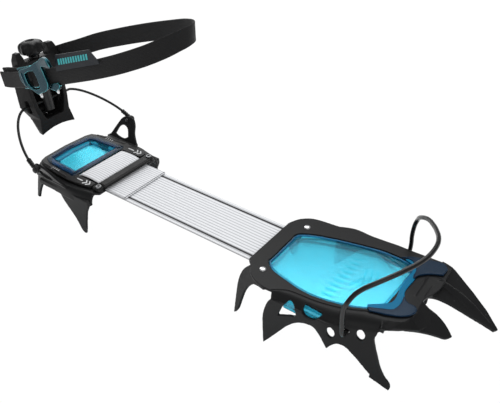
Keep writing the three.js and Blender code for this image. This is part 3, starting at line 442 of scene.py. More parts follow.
def bake(obj):
    """Applies the modifiers."""
    depsgraph = bpy.context.evaluated_depsgraph_get()
    mesh = bpy.data.meshes.new_from_object(obj.evaluated_get(depsgraph))
    old = obj.data
    obj.modifiers.clear()
    obj.data = mesh
    bpy.data.meshes.remove(old)


def drop(obj):
    mesh = obj.data
    bpy.data.objects.remove(obj)
    bpy.data.meshes.remove(mesh)


def shade(obj, angle=None):
    """Smooth shading, with edges over angle degrees kept sharp."""
    for polygon in obj.data.polygons:
        polygon.use_smooth = True
    if angle:
        obj.data.set_sharp_from_angle(angle=math.radians(angle))


def keep_largest(obj):
    """Drops specks left by the remesh."""
    work = bmesh.new()
    work.from_mesh(obj.data)
    seen, groups = set(), []
    for vert in work.verts:
        if vert.index in seen:
            continue
        stack, group = [vert], []
        seen.add(vert.index)
        while stack:
            current = stack.pop()
            group.append(current)
            for edge in current.link_edges:
                other = edge.other_vert(current)
                if other.index not in seen:
                    seen.add(other.index)
                    stack.append(other)
        groups.append(group)
    groups.sort(key=len, reverse=True)
    for group in groups[1:]:
        bmesh.ops.delete(work, geom=group, context="VERTS")
    work.to_mesh(obj.data)
    work.free()


def fuse(name, parts, voxel, passes, cutters=(), source=None):
    """One body from overlapping shells and, if named, a CAD node: joined, cut, remeshed at
    voxel metres and smoothed passes times."""
    if source:
        obj = bpy.data.objects.new(name, NODES[source].data.copy())
        SCENE.collection.objects.link(obj)
        if parts:
            extra = link(name + "_x", *merge(parts))
            work = bmesh.new()
            work.from_mesh(obj.data)
            work.from_mesh(extra.data)
            work.to_mesh(obj.data)
            work.free()
            drop(extra)
    else:
        obj = link(name, *merge(parts))
    fix_normals(obj, 1e-7)
    if cutters:
        cutter = solid(name + "_cut", cutters)
        add_modifier(obj, "BOOLEAN", operation="DIFFERENCE", object=cutter, solver="EXACT",
                     use_self=True, use_hole_tolerant=True)
    add_modifier(obj, "REMESH", mode="VOXEL", voxel_size=voxel, adaptivity=0.0)
    add_modifier(obj, "SMOOTH", factor=0.5, iterations=passes)
    bpy.context.view_layer.update()
    bake(obj)
    if cutters:
        drop(cutter)
    keep_largest(obj)
    shade(obj)
    return obj


def set_attribute(obj, name, values):
    """A float for every vertex; values is an array or one number."""
    buffer = np.empty(len(obj.data.vertices), np.float32)
    buffer[:] = values
    obj.data.attributes.new(name, "FLOAT", "POINT").data.foreach_set("value", buffer)


def set_uv(obj, uvs):
    """A UV map from one (u, v) for every vertex."""
    layer = obj.data.uv_layers.new(name="UVMap")
    index = np.zeros(len(obj.data.loops), np.int32)
    obj.data.loops.foreach_get("vertex_index", index)
    layer.data.foreach_set("uv", np.array(uvs, np.float32)[index].ravel())


def vertex_vectors(obj, key):
    values = np.zeros(len(obj.data.vertices) * 3, np.float32)
    obj.data.vertices.foreach_get(key, values)
    return values.reshape(-1, 3).astype(float)


def layout_points(obj):
    return vertex_vectors(obj, "co") / UNIT + ORIGIN


def set_layout_points(obj, points):
    obj.data.vertices.foreach_set("co", to_m(points).astype(np.float32).ravel())
    obj.data.update()


def dist_to_path(points, path):
    path = np.array(path, float)
    best = np.full(len(points), 1e9)
    for start, end in zip(path[:-1], path[1:]):
        step = end - start
        share = np.clip(((points - start) @ step) / max(step @ step, 1e-12), 0, 1)
        best = np.minimum(best, norm(points - (start + share[:, None] * step), axis=1))
    return best


def paint(obj, material):
    obj.data.materials.clear()
    obj.data.materials.append(material)


def piece(obj, body, material, slot, *nodes):
    """Hangs a finished object on its body, in place of the named CAD nodes."""
    paint(obj, material)
    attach(obj, body)
    if nodes:
        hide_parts(*nodes)


def place(name, parts, body, material, slot, *nodes, weld=None, angle=None):
    obj = solid(name, parts, weld)
    shade(obj, angle)
    piece(obj, body, material, slot, *nodes)


def detail(node, parts, body, material, slot, **finish):
    """Replaces a CAD node by finer shells."""
    place(node + "_fine", parts, body, material, slot, node, **finish)


def refine(node, parts, body, material, slot, **fusing):
    """Replaces a CAD node by its own mesh fused with extra shells."""
    piece(fuse(node + "_fine", parts, source=node, **fusing), body, material, slot, node)


# ------------------------------------------------------------------ materials
class Shader:
    """A node material. Inputs take sockets, numbers or RGB tuples."""

    def __init__(self, name):
        self.material = bpy.data.materials.new(name)
        self.material.use_nodes = True
        self.tree = self.material.node_tree
        self.tree.nodes.clear()
        self.out = self.tree.nodes.new("ShaderNodeOutputMaterial")

    def feed(self, socket, value):
        if isinstance(value, bpy.types.NodeSocket):
            self.tree.links.new(value, socket)
        else:
            socket.default_value = (*value, 1) if isinstance(value, tuple) else value

    def node(self, kind, **settings):
        """Keywords name inputs, with _ for a space, or else properties."""
        made = self.tree.nodes.new("ShaderNode" + kind)
        for key, value in settings.items():
            label = key.replace("_", " ")
            if label in made.inputs:
                self.feed(made.inputs[label], value)
            else:
                setattr(made, key, value)
        return made

    def feed_all(self, made, values):
        """Feeds a node's inputs by index."""
        for index, value in values.items():
            self.feed(made.inputs[index], value)
        return made

    def coord(self):
        return self.node("TexCoord").outputs["Object"]

    def attribute(self, name):
        return self.node("Attribute", attribute_name=name).outputs["Fac"]

    def uv(self):
        split = self.node("SeparateXYZ", Vector=self.node("UVMap").outputs[0])
        return split.outputs[0], split.outputs[1]

    def noise(self, scale, detail):
        made = self.node("TexNoise", Scale=scale, Detail=detail, Roughness=0.55,
                         Distortion=0.0, Vector=self.coord())
        return made.outputs["Fac"]

    def math(self, operation, *values):
        made = self.node("Math", operation=operation)
        return self.feed_all(made, dict(enumerate(values))).outputs[0]

    def scaled(self, value, by):
        return self.math("MULTIPLY", value, by)

    def mix(self, share, first, second):
        made = self.node("Mix", data_type="RGBA")
        return self.feed_all(made, {0: share, 6: first, 7: second}).outputs[2]

    def mix_shader(self, share, first, second):
        made = self.node("MixShader")
        return self.feed_all(made, {0: share, 1: first, 2: second}).outputs[0]

    def remap(self, value, to, span=(0.0, 1.0)):
        made = self.node("MapRange")
        values = {1: span[0], 2: span[1], 3: to[0], 4: to[1], 0: value}
        return self.feed_all(made, values).outputs[0]

    def bump(self, height, strength, distance, **normal):
        made = self.node("Bump", Strength=strength, Distance=distance, Height=height, **normal)
        return made.outputs["Normal"]

    def edge_wear_and_highlight(self, start, full):
        """How much wear and painted highlight an edge gets, by its pointiness."""
        pointiness = self.node("NewGeometry").outputs["Pointiness"]
        return self.remap(pointiness, span=(start, full), to=(0.0, 1.0))

    def done(self, surface):
        self.feed(self.out.inputs["Surface"], surface)
        return self.material

    def principled(self, **settings):
        return self.node("BsdfPrincipled", **settings).outputs[0]


def dimmed(color, by):
    return tuple(c * by for c in color)


def steel_material():
    mat = Shader("steel_black")
    fine, broad = mat.noise(scale=900, detail=3), mat.noise(scale=45, detail=4)
    patchy = mat.remap(mat.noise(scale=160, detail=3), span=(0.3, 0.7), to=(0.35, 1.0))
    # sharp edges lighter: partly wear, in patches, partly painted highlight
    edge = mat.math("MULTIPLY", mat.edge_wear_and_highlight(start=0.515, full=0.60), patchy)
    base = mat.mix(broad, (0.0040, 0.0042, 0.0046), (0.0078, 0.0081, 0.0086))
    base = mat.mix(mat.scaled(edge, by=0.5), base, (0.055, 0.057, 0.060))
    # painted shade: the pressed lines darker
    base = mat.mix(mat.attribute("line"), base, (0.004, 0.004, 0.0045))
    rough = mat.math("ADD", mat.remap(broad, to=(0.34, 0.50)), mat.remap(fine, to=(-0.05, 0.05)))
    swell = mat.bump(broad, strength=0.05, distance=0.0004)
    normal = mat.bump(fine, strength=0.22, distance=0.00006, Normal=swell)
    return mat.done(mat.principled(Base_Color=base, Metallic=0.0, Roughness=rough,
                                   Normal=normal, Specular_IOR_Level=0.19))


def bright_material(name, color, rough):
    mat = Shader(name)
    fine, broad = mat.noise(scale=1400, detail=3), mat.noise(scale=220, detail=4)
    return mat.done(mat.principled(
        Base_Color=mat.mix(broad, color, dimmed(color, 0.80)), Metallic=0.92,
        Roughness=mat.remap(fine, to=(rough - 0.08, rough + 0.12)),
        Normal=mat.bump(fine, strength=0.25, distance=0.00005)))


def tpu_material(name, tint, body, clarity, gloss, painted_shade=None, painted_shade_body=None):
    """Tinted see-through elastomer: part clear, part glowing body, with a soft gloss skin.

    The painted_shade colours are painted shade, shown where the painted_shade attribute is 1."""
    mat = Shader(name)
    fine, broad = mat.noise(scale=700, detail=3), mat.noise(scale=28, detail=3)
    ray = mat.node("LightPath")
    # painted shade: depth is the share of painted shade at each vertex
    depth = mat.attribute("painted_shade")
    tint_color = mat.mix(depth, tint, painted_shade or tint)
    color = mat.mix(broad, body, tuple(min(1, c * 1.12 + 0.01) for c in body))
    color = mat.mix(depth, color, painted_shade_body or dimmed(body, 0.25))
    clear = mat.node("BsdfTransparent", Color=tint_color)
    swell = mat.bump(broad, strength=0.12, distance=0.0005)
    normal = mat.bump(fine, strength=0.08, distance=0.00008, Normal=swell)
    diffuse = mat.principled(Base_Color=color, Roughness=0.42, Normal=normal,
                             Specular_IOR_Level=0.35 * gloss)
    glow = mat.node("BsdfTranslucent", Color=color, Normal=normal)
    glow_share = 0.45
    filled = mat.mix_shader(glow_share, diffuse, glow.outputs[0])
    kept = mat.math("SUBTRACT", 1.0, mat.scaled(depth, by=0.35))  # painted-shade parts are less clear
    inside = mat.mix_shader(mat.scaled(kept, by=clarity), filled, clear.outputs[0])
    skin = mat.node("BsdfGlossy", Roughness=0.24, Color=(0.9, 0.97, 1), Normal=normal)
    fresnel = mat.node("Fresnel", IOR=1.42, Normal=normal)
    lit = mat.math("SUBTRACT", 1.0, ray.outputs["Is Shadow Ray"])  # no skin in shadow rays
    shine = mat.math("MULTIPLY", mat.scaled(fresnel.outputs[0], by=gloss), lit)
    return mat.done(mat.mix_shader(shine, inside, skin.outputs[0]))


def nylon_material(name, dark, light, rough, grain):
    mat = Shader(name)
    cells = mat.node("TexVoronoi", Scale=2600.0, feature="SMOOTH_F1", Vector=mat.coord())
    broad = mat.noise(scale=60, detail=4)
    # sharp edges lighter: partly wear, partly painted highlight, as on the steel
    edge = mat.edge_wear_and_highlight(start=0.52, full=0.60)
    base = mat.mix(broad, (dark, dark, dark * 1.03), (light, light, light * 1.04))
    base = mat.mix(mat.scaled(edge, by=0.35), base, (0.032, 0.033, 0.035))
    rough = mat.remap(broad, to=(rough - 0.07, rough + 0.08))
    swell = mat.bump(mat.noise(scale=400, detail=2), strength=0.08, distance=0.0001)
    normal = mat.bump(cells.outputs["Distance"], strength=grain, distance=0.00008, Normal=swell)
    return mat.done(mat.principled(Base_Color=base, Roughness=rough, Normal=normal,
                                   Specular_IOR_Level=0.22))


def waves(mat, value, pitch):
    """A sine with the given pitch in metres."""
    return mat.math("SINE", mat.scaled(value, by=2 * math.pi / pitch))


def band_material():
    mat = Shader("band_white")
    rib, dark, edge = mat.attribute("rib"), mat.attribute("dark"), mat.attribute("edge")
    pick = waves(mat, mat.uv()[0], pitch=0.0009)
    broad = mat.noise(scale=30, detail=3)
    # painted shade: the grooves between the ribs darker grey
    color = mat.mix(mat.remap(rib, span=(0.02, 0.34), to=(0.0, 1.0)),
                    (0.24, 0.245, 0.26), (0.62, 0.63, 0.65))
    soiled = mat.remap(broad, span=(0.2, 0.8), to=(0.0, 0.2))
    color = mat.mix(soiled, color, (0.50, 0.51, 0.54))
    color = mat.mix(mat.remap(pick, span=(-1, 1), to=(0.10, 0.0)), color, (0.35, 0.36, 0.38))
    color = mat.mix(dark, color, (0.006, 0.006, 0.008))
    color = mat.mix(mat.scaled(edge, by=0.55), color, (0.30, 0.30, 0.31))
    fuzz = mat.scaled(mat.noise(scale=2200, detail=2), by=0.6)
    height = mat.math("ADD", mat.scaled(pick, by=0.5), fuzz)
    return mat.done(mat.principled(
        Base_Color=color, Roughness=0.62, Sheen_Weight=0.25, Sheen_Roughness=0.4,
        Normal=mat.bump(height, strength=0.35, distance=0.00006), Specular_IOR_Level=0.35))


def webbing_material():
    """Warp cords along the webbing, with wefts across that shift on every other cord."""
    cord_pitch, weft_pitch, weft_shift = 0.00105, 0.0011, 0.00055
    mat = Shader("webbing_black")
    along, across = mat.uv()
    cord = waves(mat, across, pitch=cord_pitch)
    cell = mat.math("FLOOR", mat.math("DIVIDE", across, cord_pitch))
    odd = mat.math("MODULO", mat.math("ABSOLUTE", cell), 2.0)
    shift = mat.scaled(odd, by=weft_shift)
    weft = waves(mat, mat.math("ADD", along, shift), pitch=weft_pitch)
    crossing = mat.math("MULTIPLY", weft, mat.math("ABSOLUTE", cord))
    weave = mat.math("ADD", mat.scaled(cord, by=0.5), mat.scaled(crossing, by=0.6))
    broad = mat.noise(scale=70, detail=4)
    color = mat.mix(mat.remap(weave, span=(-1, 1), to=(0, 1)),
                    (0.0040, 0.0040, 0.0044), (0.0125, 0.0124, 0.0128))
    worn = mat.remap(broad, span=(0.3, 0.7), to=(0.0, 0.35))
    color = mat.mix(worn, color, (0.008, 0.0078, 0.0084))
    fuzz = mat.scaled(mat.noise(scale=3500, detail=2), by=0.3)
    normal = mat.bump(mat.math("ADD", weave, fuzz), strength=0.55, distance=0.00012)
    return mat.done(mat.principled(
        Base_Color=color, Roughness=0.85, Normal=normal, Sheen_Weight=0.06,
        Sheen_Roughness=0.5, Specular_IOR_Level=0.2))


def teal_material():
    mat = Shader("teal_anodised")
    fine, broad = mat.noise(scale=1500, detail=3), mat.noise(scale=120, detail=3)
    base = mat.mix(broad, (0.001, 0.018, 0.028), (0.003, 0.038, 0.055))
    # painted highlight: sharp edges bright cyan
    base = mat.mix(mat.edge_wear_and_highlight(start=0.514, full=0.578), base, (0.20, 0.82, 0.90))
    return mat.done(mat.principled(
        Base_Color=base, Metallic=0.9, Roughness=mat.remap(fine, to=(0.20, 0.34)),
        Normal=mat.bump(fine, strength=0.12, distance=0.00004)))


def wire_material(name, rough, grey):
    mat = Shader(name)
    fine, broad = mat.noise(scale=1100, detail=2), mat.noise(scale=60, detail=3)
    base = mat.mix(broad, (grey, grey, grey * 1.05), (grey * 1.7, grey * 1.7, grey * 1.75))
    return mat.done(mat.principled(
        Base_Color=base, Metallic=0.0, Roughness=mat.remap(broad, to=(rough - 0.06, rough + 0.10)),
        Normal=mat.bump(fine, strength=0.10, distance=0.00004), Specular_IOR_Level=0.3,
        Coat_Weight=0.15, Coat_Roughness=0.15))


def print_material(name, color, rough=0.5):
    mat = Shader(name)
    fine, broad = mat.noise(scale=1800, detail=2), mat.noise(scale=300, detail=3)
    return mat.done(mat.principled(
        Base_Color=mat.mix(broad, color, dimmed(color, 0.75)), Roughness=rough,
        Normal=mat.bump(fine, strength=0.35, distance=0.00005), Specular_IOR_Level=0.3))


BLACK_STEEL = steel_material()
ZINC = bright_material("zinc_bright", color=(0.78, 0.79, 0.80), rough=0.26)
# BLUE and HEEL_BLUE: the painted_shade colours are darker blues for painted shade
BLUE = tpu_material("tpu_blue", tint=(0.245, 0.775, 0.875), body=(0.018, 0.34, 0.47),
                    clarity=0.80, painted_shade=(0.06, 0.36, 0.60), painted_shade_body=(0.006, 0.12, 0.27),
                    gloss=0.75)
MID_BLUE = tpu_material("tpu_blue_mid", tint=(0.03, 0.45, 0.72), body=(0.002, 0.225, 0.42),
                        clarity=0.20, gloss=0.15)
THICK_BLUE = tpu_material("tpu_blue_thick", tint=(0.10, 0.32, 0.50), body=(0.004, 0.026, 0.062),
                          clarity=0.25, gloss=0.3)
HEEL_BLUE = tpu_material("tpu_blue_heel", tint=(0.245, 0.79, 0.88), body=(0.018, 0.34, 0.47),
                         clarity=0.80, painted_shade=(0.02, 0.17, 0.36), painted_shade_body=(0.004, 0.030, 0.070),
                         gloss=0.35)
NYLON = nylon_material("nylon_black", dark=0.0034, light=0.0062, rough=0.50, grain=0.35)
KNOB_NYLON = nylon_material("nylon_knob", dark=0.0040, light=0.0075, rough=0.42, grain=0.25)
GLOSS_NYLON = nylon_material("nylon_gloss", dark=0.0030, light=0.0050, rough=0.44, grain=0.15)
BAND_CLOTH = band_material()
WEBBING = webbing_material()
TEAL = teal_material()
WIRE = wire_material("wire_black", rough=0.28, grey=0.0032)
CABLE = wire_material("cable_black", rough=0.36, grey=0.0030)
DARK_ZINC = bright_material("steel_dark_zinc", color=(0.20, 0.205, 0.21), rough=0.34)
OXIDE = wire_material("steel_black_oxide", rough=0.38, grey=0.006)
LABEL = print_material("label_navy", (0.0045, 0.0075, 0.0125), rough=0.55)
TEAL_PRINT = print_material("print_teal", (0.035, 0.34, 0.36))
THREAD = print_material("thread_black", (0.020, 0.020, 0.021), rough=0.7)
PALE_PRINT = print_material("mark_pale", (0.62, 0.63, 0.64))

# =============================================================== FRONT PLATE
# Plan outlines and bend lines: x, y.
FRONT_OUTLINE = [
    (136.5, -31.5), (141, -38), (149, -43), (158.5, -45), (164, -44.4), (172.7, -38.6),
    (181, -37), (191.6, -36), (201.4, -34.2), (210.4, -31.4), (217.4, -28.5), (227.2, -24),
    (240, -22), (246, -21), (250, -19), (253, -12), (253.5, -2), (253, 8.5), (253.5, 12),
    (256, 18), (258, 30), (256, 50), (250, 53), (237, 51.5), (223, 50.5), (207, 50), (188, 49),
    (176, 48.4), (168, 46.4), (161, 45.4), (151.4, 44.3), (144.4, 42.6), (139, 39.2),
    (135.6, 35.6), (133.2, 31), (131.5, 26), (131.5, -26)]
FRONT_WINDOW = [
    (144.4, -19.8), (146.4, -22.4), (151, -25.6), (160, -28.6), (174.5, -31.4), (187, -32.3),
    (199, -30.7), (210, -28), (219, -24.6), (228, -19), (234, -12), (235, 8), (235.4, 24),
    (235.2, 33), (232, 38), (225, 40), (217.4, 40.6), (205, 40), (189, 36.3), (172, 31.9),
    (159, 27.6), (149, 22.6), (145.6, 20.2), (143.8, 16.6)]
RIGHT_CREASE = [
    (163.8, -44.0), (167, -41.6), (172.7, -38.4), (181, -36.8), (191.6, -35.8), (201.4, -34),
    (210.4, -31.2), (217.4, -28.3), (227.2, -23.5), (234, -22.2), (241, -21.6)]
RIGHT_TOP = [
    (165.4, -47.9), (168.5, -47.6), (173.5, -47.2), (182, -46.4), (192.5, -45.6), (203, -44.8),
    (211.3, -43.6), (217.8, -40.9), (228.5, -36.3), (235.5, -33.3), (242.5, -30.4)]
LEFT_CREASE = [
    (166.4, 45.8), (171, 47.2), (176, 48.2), (188, 48.8), (207, 49.8), (223, 50.3),
    (237, 51.3), (250, 52.5)]
LEFT_TOP = [
    (169.2, 49.6), (172.0, 52.4), (175.6, 55.1), (183.8, 56.0), (190.3, 54.7), (203, 55.3),
    (213.6, 57.0), (223, 56.7), (237, 56.9), (249.5, 56.6)]
# Flanges with their teeth, in side view: x, z.
RIGHT_FLANGE = [
    (166, -2.6), (163.3, -6), (161.1, -12), (159.2, -21.6), (159.2, -32), (160.0, -49.4),
    (164.4, -43.5), (172.9, -30.9), (180.1, -20.8), (186.1, -15.1), (193.2, -12.2),
    (198.3, -12.2), (201.7, -14.2), (205.3, -18), (210.4, -24.9), (213.5, -20.6),
    (216.6, -18.4), (220, -18.9), (227.6, -25), (233.7, -31.5), (238.4, -36.7), (240.3, -38.6),
    (240.1, -40.9), (246.6, -44.8), (254, -49.6), (254.3, -47.8), (248.5, -38.1),
    (244.5, -30.0), (239.9, -17.6), (237.8, -8.2), (238.6, -4.0)]
LEFT_FLANGE = [
    (171, -3.5), (167, -9), (163, -17), (160.8, -26), (161.4, -44.5), (166, -40.5),
    (181, -20.5), (188, -16.2), (196, -15.4), (202, -17.6), (206, -21.5), (209.6, -25.6),
    (212, -22.6), (216, -20.4), (220, -19.6), (225, -22.4), (231, -30), (234, -38.6),
    (234.2, -41.4), (236.4, -44.0), (240.6, -49.2), (242.2, -46.4), (243.6, -31), (244.4, -18),
    (246, -9), (247.6, -3.5)]
# Teeth, front points and the ridges on them: x, y, z.
REAR_TOOTH = [
    (137, 31.2, 2.0), (130.6, 31, -4.9), (126.6, 31.8, -13.2), (125.6, 33.4, -19.5),
    (126, 36.2, -27), (127.6, 42.3, -42.6), (130.9, 42.6, -37.4), (133.4, 40.6, -28),
    (135.8, 38.9, -18.7), (139.8, 38.7, -11.5), (145.2, 40, -6), (150.7, 42.2, -3.1),
    (158, 45.2, -0.4), (158, 45.2, 2.0), (149, 42, 2.0)]
RIGHT_POINT = [
    (240, -31.5, -1.2), (247.4, -25.5, 0.6), (255.8, -16.8, -2.6), (260.6, -12.4, -5.0),
    (266, -8.2, -7.9), (270.9, -5.0, -10.7), (274.8, -2.4, -13.3), (277.3, 2.4, -14.4),
    (274.7, 4.6, -12.8), (269.2, 8.0, -9.1), (262.4, 9.6, -5.2), (256.4, 9.1, -1.8),
    (252.6, 8.3, 0.3), (247, 7.6, 2.0), (240, -6, 2.2), (238, -21, 2.0)]
LEFT_POINT = [
    (246, 9, 2.4), (252.2, 10.2, 1.3), (253.1, 13.7, 0.9), (256.5, 17.6, -0.2),
    (265.1, 21.2, -2.9), (274.5, 22.6, -5.9), (284, 23.6, -8.9), (293.5, 24.6, -11.9),
    (298.8, 24.8, -13.5), (300.5, 28.2, -14.1), (289, 37.6, -10.6), (276.2, 45.2, -6.6),
    (262.8, 52.1, -2.4), (255.2, 55.4, -0.2), (248, 55.0, 2.0), (245, 40, 2.6)]
LEFT_POINT_RIB = [
    (252, 31, 1.4), (252, 37, 1.2), (254, 34, 3.0), (282, 33.2, -6.4), (297.4, 27.2, -12.6),
    (296, 28.6, -12.4), (296, 26.4, -12.6), (270, 30.6, -3.6), (270, 38.2, -4.6),
    (270, 34.2, -1.6), (258, 31, 0.6), (258, 37, 0.2)]
RIGHT_POINT_GUSSET = [
    (240, -23, 2.1), (246, -21.4, 2.1), (250, -19, 2.1), (253, -12, 2.1), (253.4, -2, 2.1),
    (253, 7, 2.1), (240, -23, 0), (253, 7, -0.2), (243, -30.2, -0.9), (247.4, -25.5, 0.5),
    (255.8, -16.8, -2.7), (260.6, -12.4, -5.1), (263, -3, -6.2), (262, 8.4, -5.2),
    (255.8, -15.8, -4.8), (247.4, -24.6, -1.7), (262, 7.6, -7.2)]
SLOT_HOLE = [(-1.9, 3.2), (-0.6, 4.2), (1.2, 3.2), (2.6, -2.6), (1.4, -4.2), (-0.6, -3.4)]
# Cuts through the flanges: x, z outlines with the y range they cut.
FLANGE_CUTS = [
    ([(171.2, -15.6), (184.6, -9.4), (183.9, -4), (178.8, 0.4), (175, -4.6), (173.3, -9)],
     -60, -42),
    ([(188.9, -1.6), (190.4, 2.4), (202.4, 1.2), (202.6, -0.6), (199.8, -4.6), (191.9, -5.6)],
     -60, -40),
    # the next two round off the front end of the right bend
    ([(238.3, -9.4), (238.4, -8.0), (239, -4.6), (241.3, -2.6), (246, -1.4), (252, -1.4),
      (252, -9.4)], -60, -29.5),
    ([(238.6, -9.6), (238.9, -4.6), (252, -4.6), (252, -9.6)], -60, -18),
    ([(211 + x, -10.4 + z) for x, z in SLOT_HOLE], -60, -38),
    ([(229.2 + x, -8.4 + z) for x, z in SLOT_HOLE], -60, -28),
    ([(172, -15), (184.6, -9.6), (184, -4.2), (178.8, -0.6)], 48, 70),
    ([(189, -3), (191, 0.2), (202, -0.6), (200.4, -6), (191.6, -7)], 48, 70),
    ([(211 + x, -10.4 + z) for x, z in SLOT_HOLE], 48, 70),
    ([(230.4 + x, -9.4 + z) for x, z in SLOT_HOLE], 48, 70)]
TURN_FROM, TURN_TO = 196, 222  # x range in which the right flange turns inwards
TURN_NORMAL, TURN_POINT = unit((-0.389, 0.904, -0.179)), vec(211.3, -43.9, -8)
BAIL_X, BAIL_Z, BAIL_R = 220.5, -7.5, 1.65
RIVET_X, RIVET_Y = 146.5, 30.2


def right_y(x, z):
    """The right flange: one plane behind the toe wire, turning smoothly into another ahead."""
    rear = -48.2 + (x - 161.5) * 0.0822
    lean = TURN_NORMAL[0] * (x - TURN_POINT[0]) + TURN_NORMAL[2] * (z - TURN_POINT[2])
    ahead = TURN_POINT[1] - lean / TURN_NORMAL[1]
    share = min(max((x - TURN_FROM) / (TURN_TO - TURN_FROM), 0), 1)
    share = share * share * (3 - 2 * share)
    return rear * (1 - share) + ahead * share


def prism_y(points, y0, y1):
    return shell([vec(x, y0, z) for x, z in smooth(points, 5, 80)], (0, y1 - y0, 0))


def right_flange():
    flat = shell([vec(x, 0, z) for x, z in smooth(RIGHT_FLANGE, corner=48)], (0, STEEL, 0))
    verts, faces = bisected(flat, list(np.arange(TURN_FROM, TURN_TO + 1, 1.5)))
    return [vec(x, y + right_y(x, z), z) for x, y, z in verts], faces


left_flange = panel([(x, 54.2 + (x - 175) * 0.037 + (z + 5) * -0.03, z) for x, z in LEFT_FLANGE],
                    outside=(0, 1, 0))
front = fuse(
    "front_steel",
    [plate(FRONT_OUTLINE, 0, STEEL, [FRONT_WINDOW]), bend_shell(RIGHT_CREASE, RIGHT_TOP, 1),
     right_flange(), bend_shell(LEFT_CREASE, LEFT_TOP, -1), left_flange]
    + [panel(mirrored(REAR_TOOTH, side), outside=(-0.5, side, -0.2)) for side in (1, -1)]
    + [hull(RIGHT_POINT_GUSSET), panel(RIGHT_POINT, outside=(0.35, 0, 1)),
       panel(LEFT_POINT, outside=(0.3, 0, 1)), hull(LEFT_POINT_RIB)],
    voxel=0.00036, passes=3,
    cutters=[prism_y(*cut) for cut in FLANGE_CUTS]
    + [rod((BAIL_X, y0, BAIL_Z), (BAIL_X, y1, BAIL_Z), BAIL_R + CLEARANCE)
       for y0, y1 in ((-60, -20), (40, 70))]
    + [rod((RIVET_X, side * RIVET_Y, -5), (RIVET_X, side * RIVET_Y, 5), 2.3) for side in (-1, 1)]
    + [box(118, 160, -BAND_HALF - CLEARANCE, BAND_HALF + CLEARANCE, -60, 0)])


def groove(obj, path, depth, width=0.9):
    """Presses a fine line into obj and returns its strength at each vertex; the steel shader darkens
    the line as painted shade.
    """
    points = layout_points(obj)
    line = np.clip(1 - dist_to_path(points, path) / width, 0, 1) ** 1.5
    points -= vertex_vectors(obj, "normal") * (line * depth)[:, None]
    set_layout_points(obj, points)
    return line


GROOVE_PATH = [
    (163.9, -44.2), (168, -41), (172.7, -38.4), (181, -36.9), (191.6, -36), (201.4, -34.1),
    (210.4, -31.4), (218.6, -27.8), (227, -23.5), (238, -20.5), (246, -15.5), (251, -10)]
# the pressed lines along the bends, darkened as painted shade in the steel shader
long_groove_shade = groove(front, at_height(smooth(GROOVE_PATH, closed=False), STEEL), depth=0.55)
short_groove_shade = groove(front, [(252.6, 12, 1.9), (252.4, 19, 2.4), (252.2, 26, 2.6)], depth=0.3)
set_attribute(front, "line", np.maximum(long_groove_shade * 0.9, short_groove_shade * 0.55))
piece(front, "front_section", BLACK_STEEL, "black_steel", "front_frame")

# ------------------------------------------------ blue plate of the front section
ANTISNOW_OUTLINE = [  # x, y
    (145.0, -17.4), (151.6, -26.4), (162, -29.6), (171.6, -32.4), (171.9, -36.2),
    (203.1, -36.2), (203.2, -33), (214, -27.6), (224, -21), (231, -13), (240, -8), (241.5, 6),
    (241.5, 24), (240, 40), (232, 43.5), (219, 44.5), (200, 43), (180, 39), (160, 31.6),
    (148, 24), (145.0, 18.4)]
RIDGE = [  # x, y, z
    (196.1, 37.3, -0.2), (203, 38.0, 0.0), (209.4, 38.0, 0.0), (216, 36.6, 0.1),
    (223.2, 34.2, 0.1), (230, 32, 0.1), (236.5, 30.6, 0.0)]
ribs = []
for k in range(9):
    x, y = 195.4 + 0.02 * k, -24 + k * 5.6
    rib = [(x - 3.2, y, -0.2), (x, y + 0.5, 0.1), (x + 3.2, y + 1.0, -0.2)]
    ribs.append(tube(smooth(rib, 5, closed=False), 0.5, 12))
for k in range(3):
    x = 4.2 * k
    rib = [(204 + x, -6 + 2.0 * k, -0.3), (208.5 + x, 5 + 1.5 * k, -0.05),
           (206 + x, 15 + 1.0 * k, -0.3)]
    ribs.append(tube(rib, 0.45, 12, 24))
ridge = tube(smooth(RIDGE, closed=False), 0.75, 14, 60)
lip_outer = smooth(offset_loop(smooth(FRONT_WINDOW, 3), 0.55), 2)
lip = shell(at_height(lip_outer, 1.7), (0, 0, -3.4), [at_height(offset_loop(lip_outer, 1.5), 1.7)])
antisnow = fuse(
    "front_antisnow_blue",
    [plate(ANTISNOW_OUTLINE, -2.8, -0.5), lip, box(172.8, 203.2, -43.2, -41.6, -10.4, -2.6),
     box(172.8, 203.2, -43.2, -34.0, -4.0, -2.5), box(173.2, 202.8, -36.2, -32.6, -4.0, -0.8)]
    + ribs + [ridge],
    voxel=0.00042, passes=4)
points = layout_points(antisnow)
x, y = points[:, 0], points[:, 1]
dome = np.clip(1 - ((x - 196) / 45) ** 2 - ((y - 4) / 38) ** 2, 0, 1)
points[:, 2] += dome * 0.5
set_layout_points(antisnow, points)
# painted shade: the lip's wall darker blue, most of all towards the left and rear, and the tab under
# the right bend a little darker
rim = dist_to_path(points * [1, 1, 0], at_height(lip_outer + lip_outer[:1], 0)) < 2.4
bias = np.clip((y - 5) / 20, 0, 1) * 0.6 + 0.4 * np.clip((156 - x) / 8, 0, 1)
wall_shade = np.clip((points[:, 2] + 0.1) / 0.9, 0, 1) * rim * np.clip(0.5 + bias * 1.2, 0, 1)
set_attribute(antisnow, "painted_shade", np.maximum(wall_shade * 0.9, (y < -34.2) * 0.15))
piece(antisnow, "front_section", BLUE, "blue_tpu", "front_antisnow_plate")

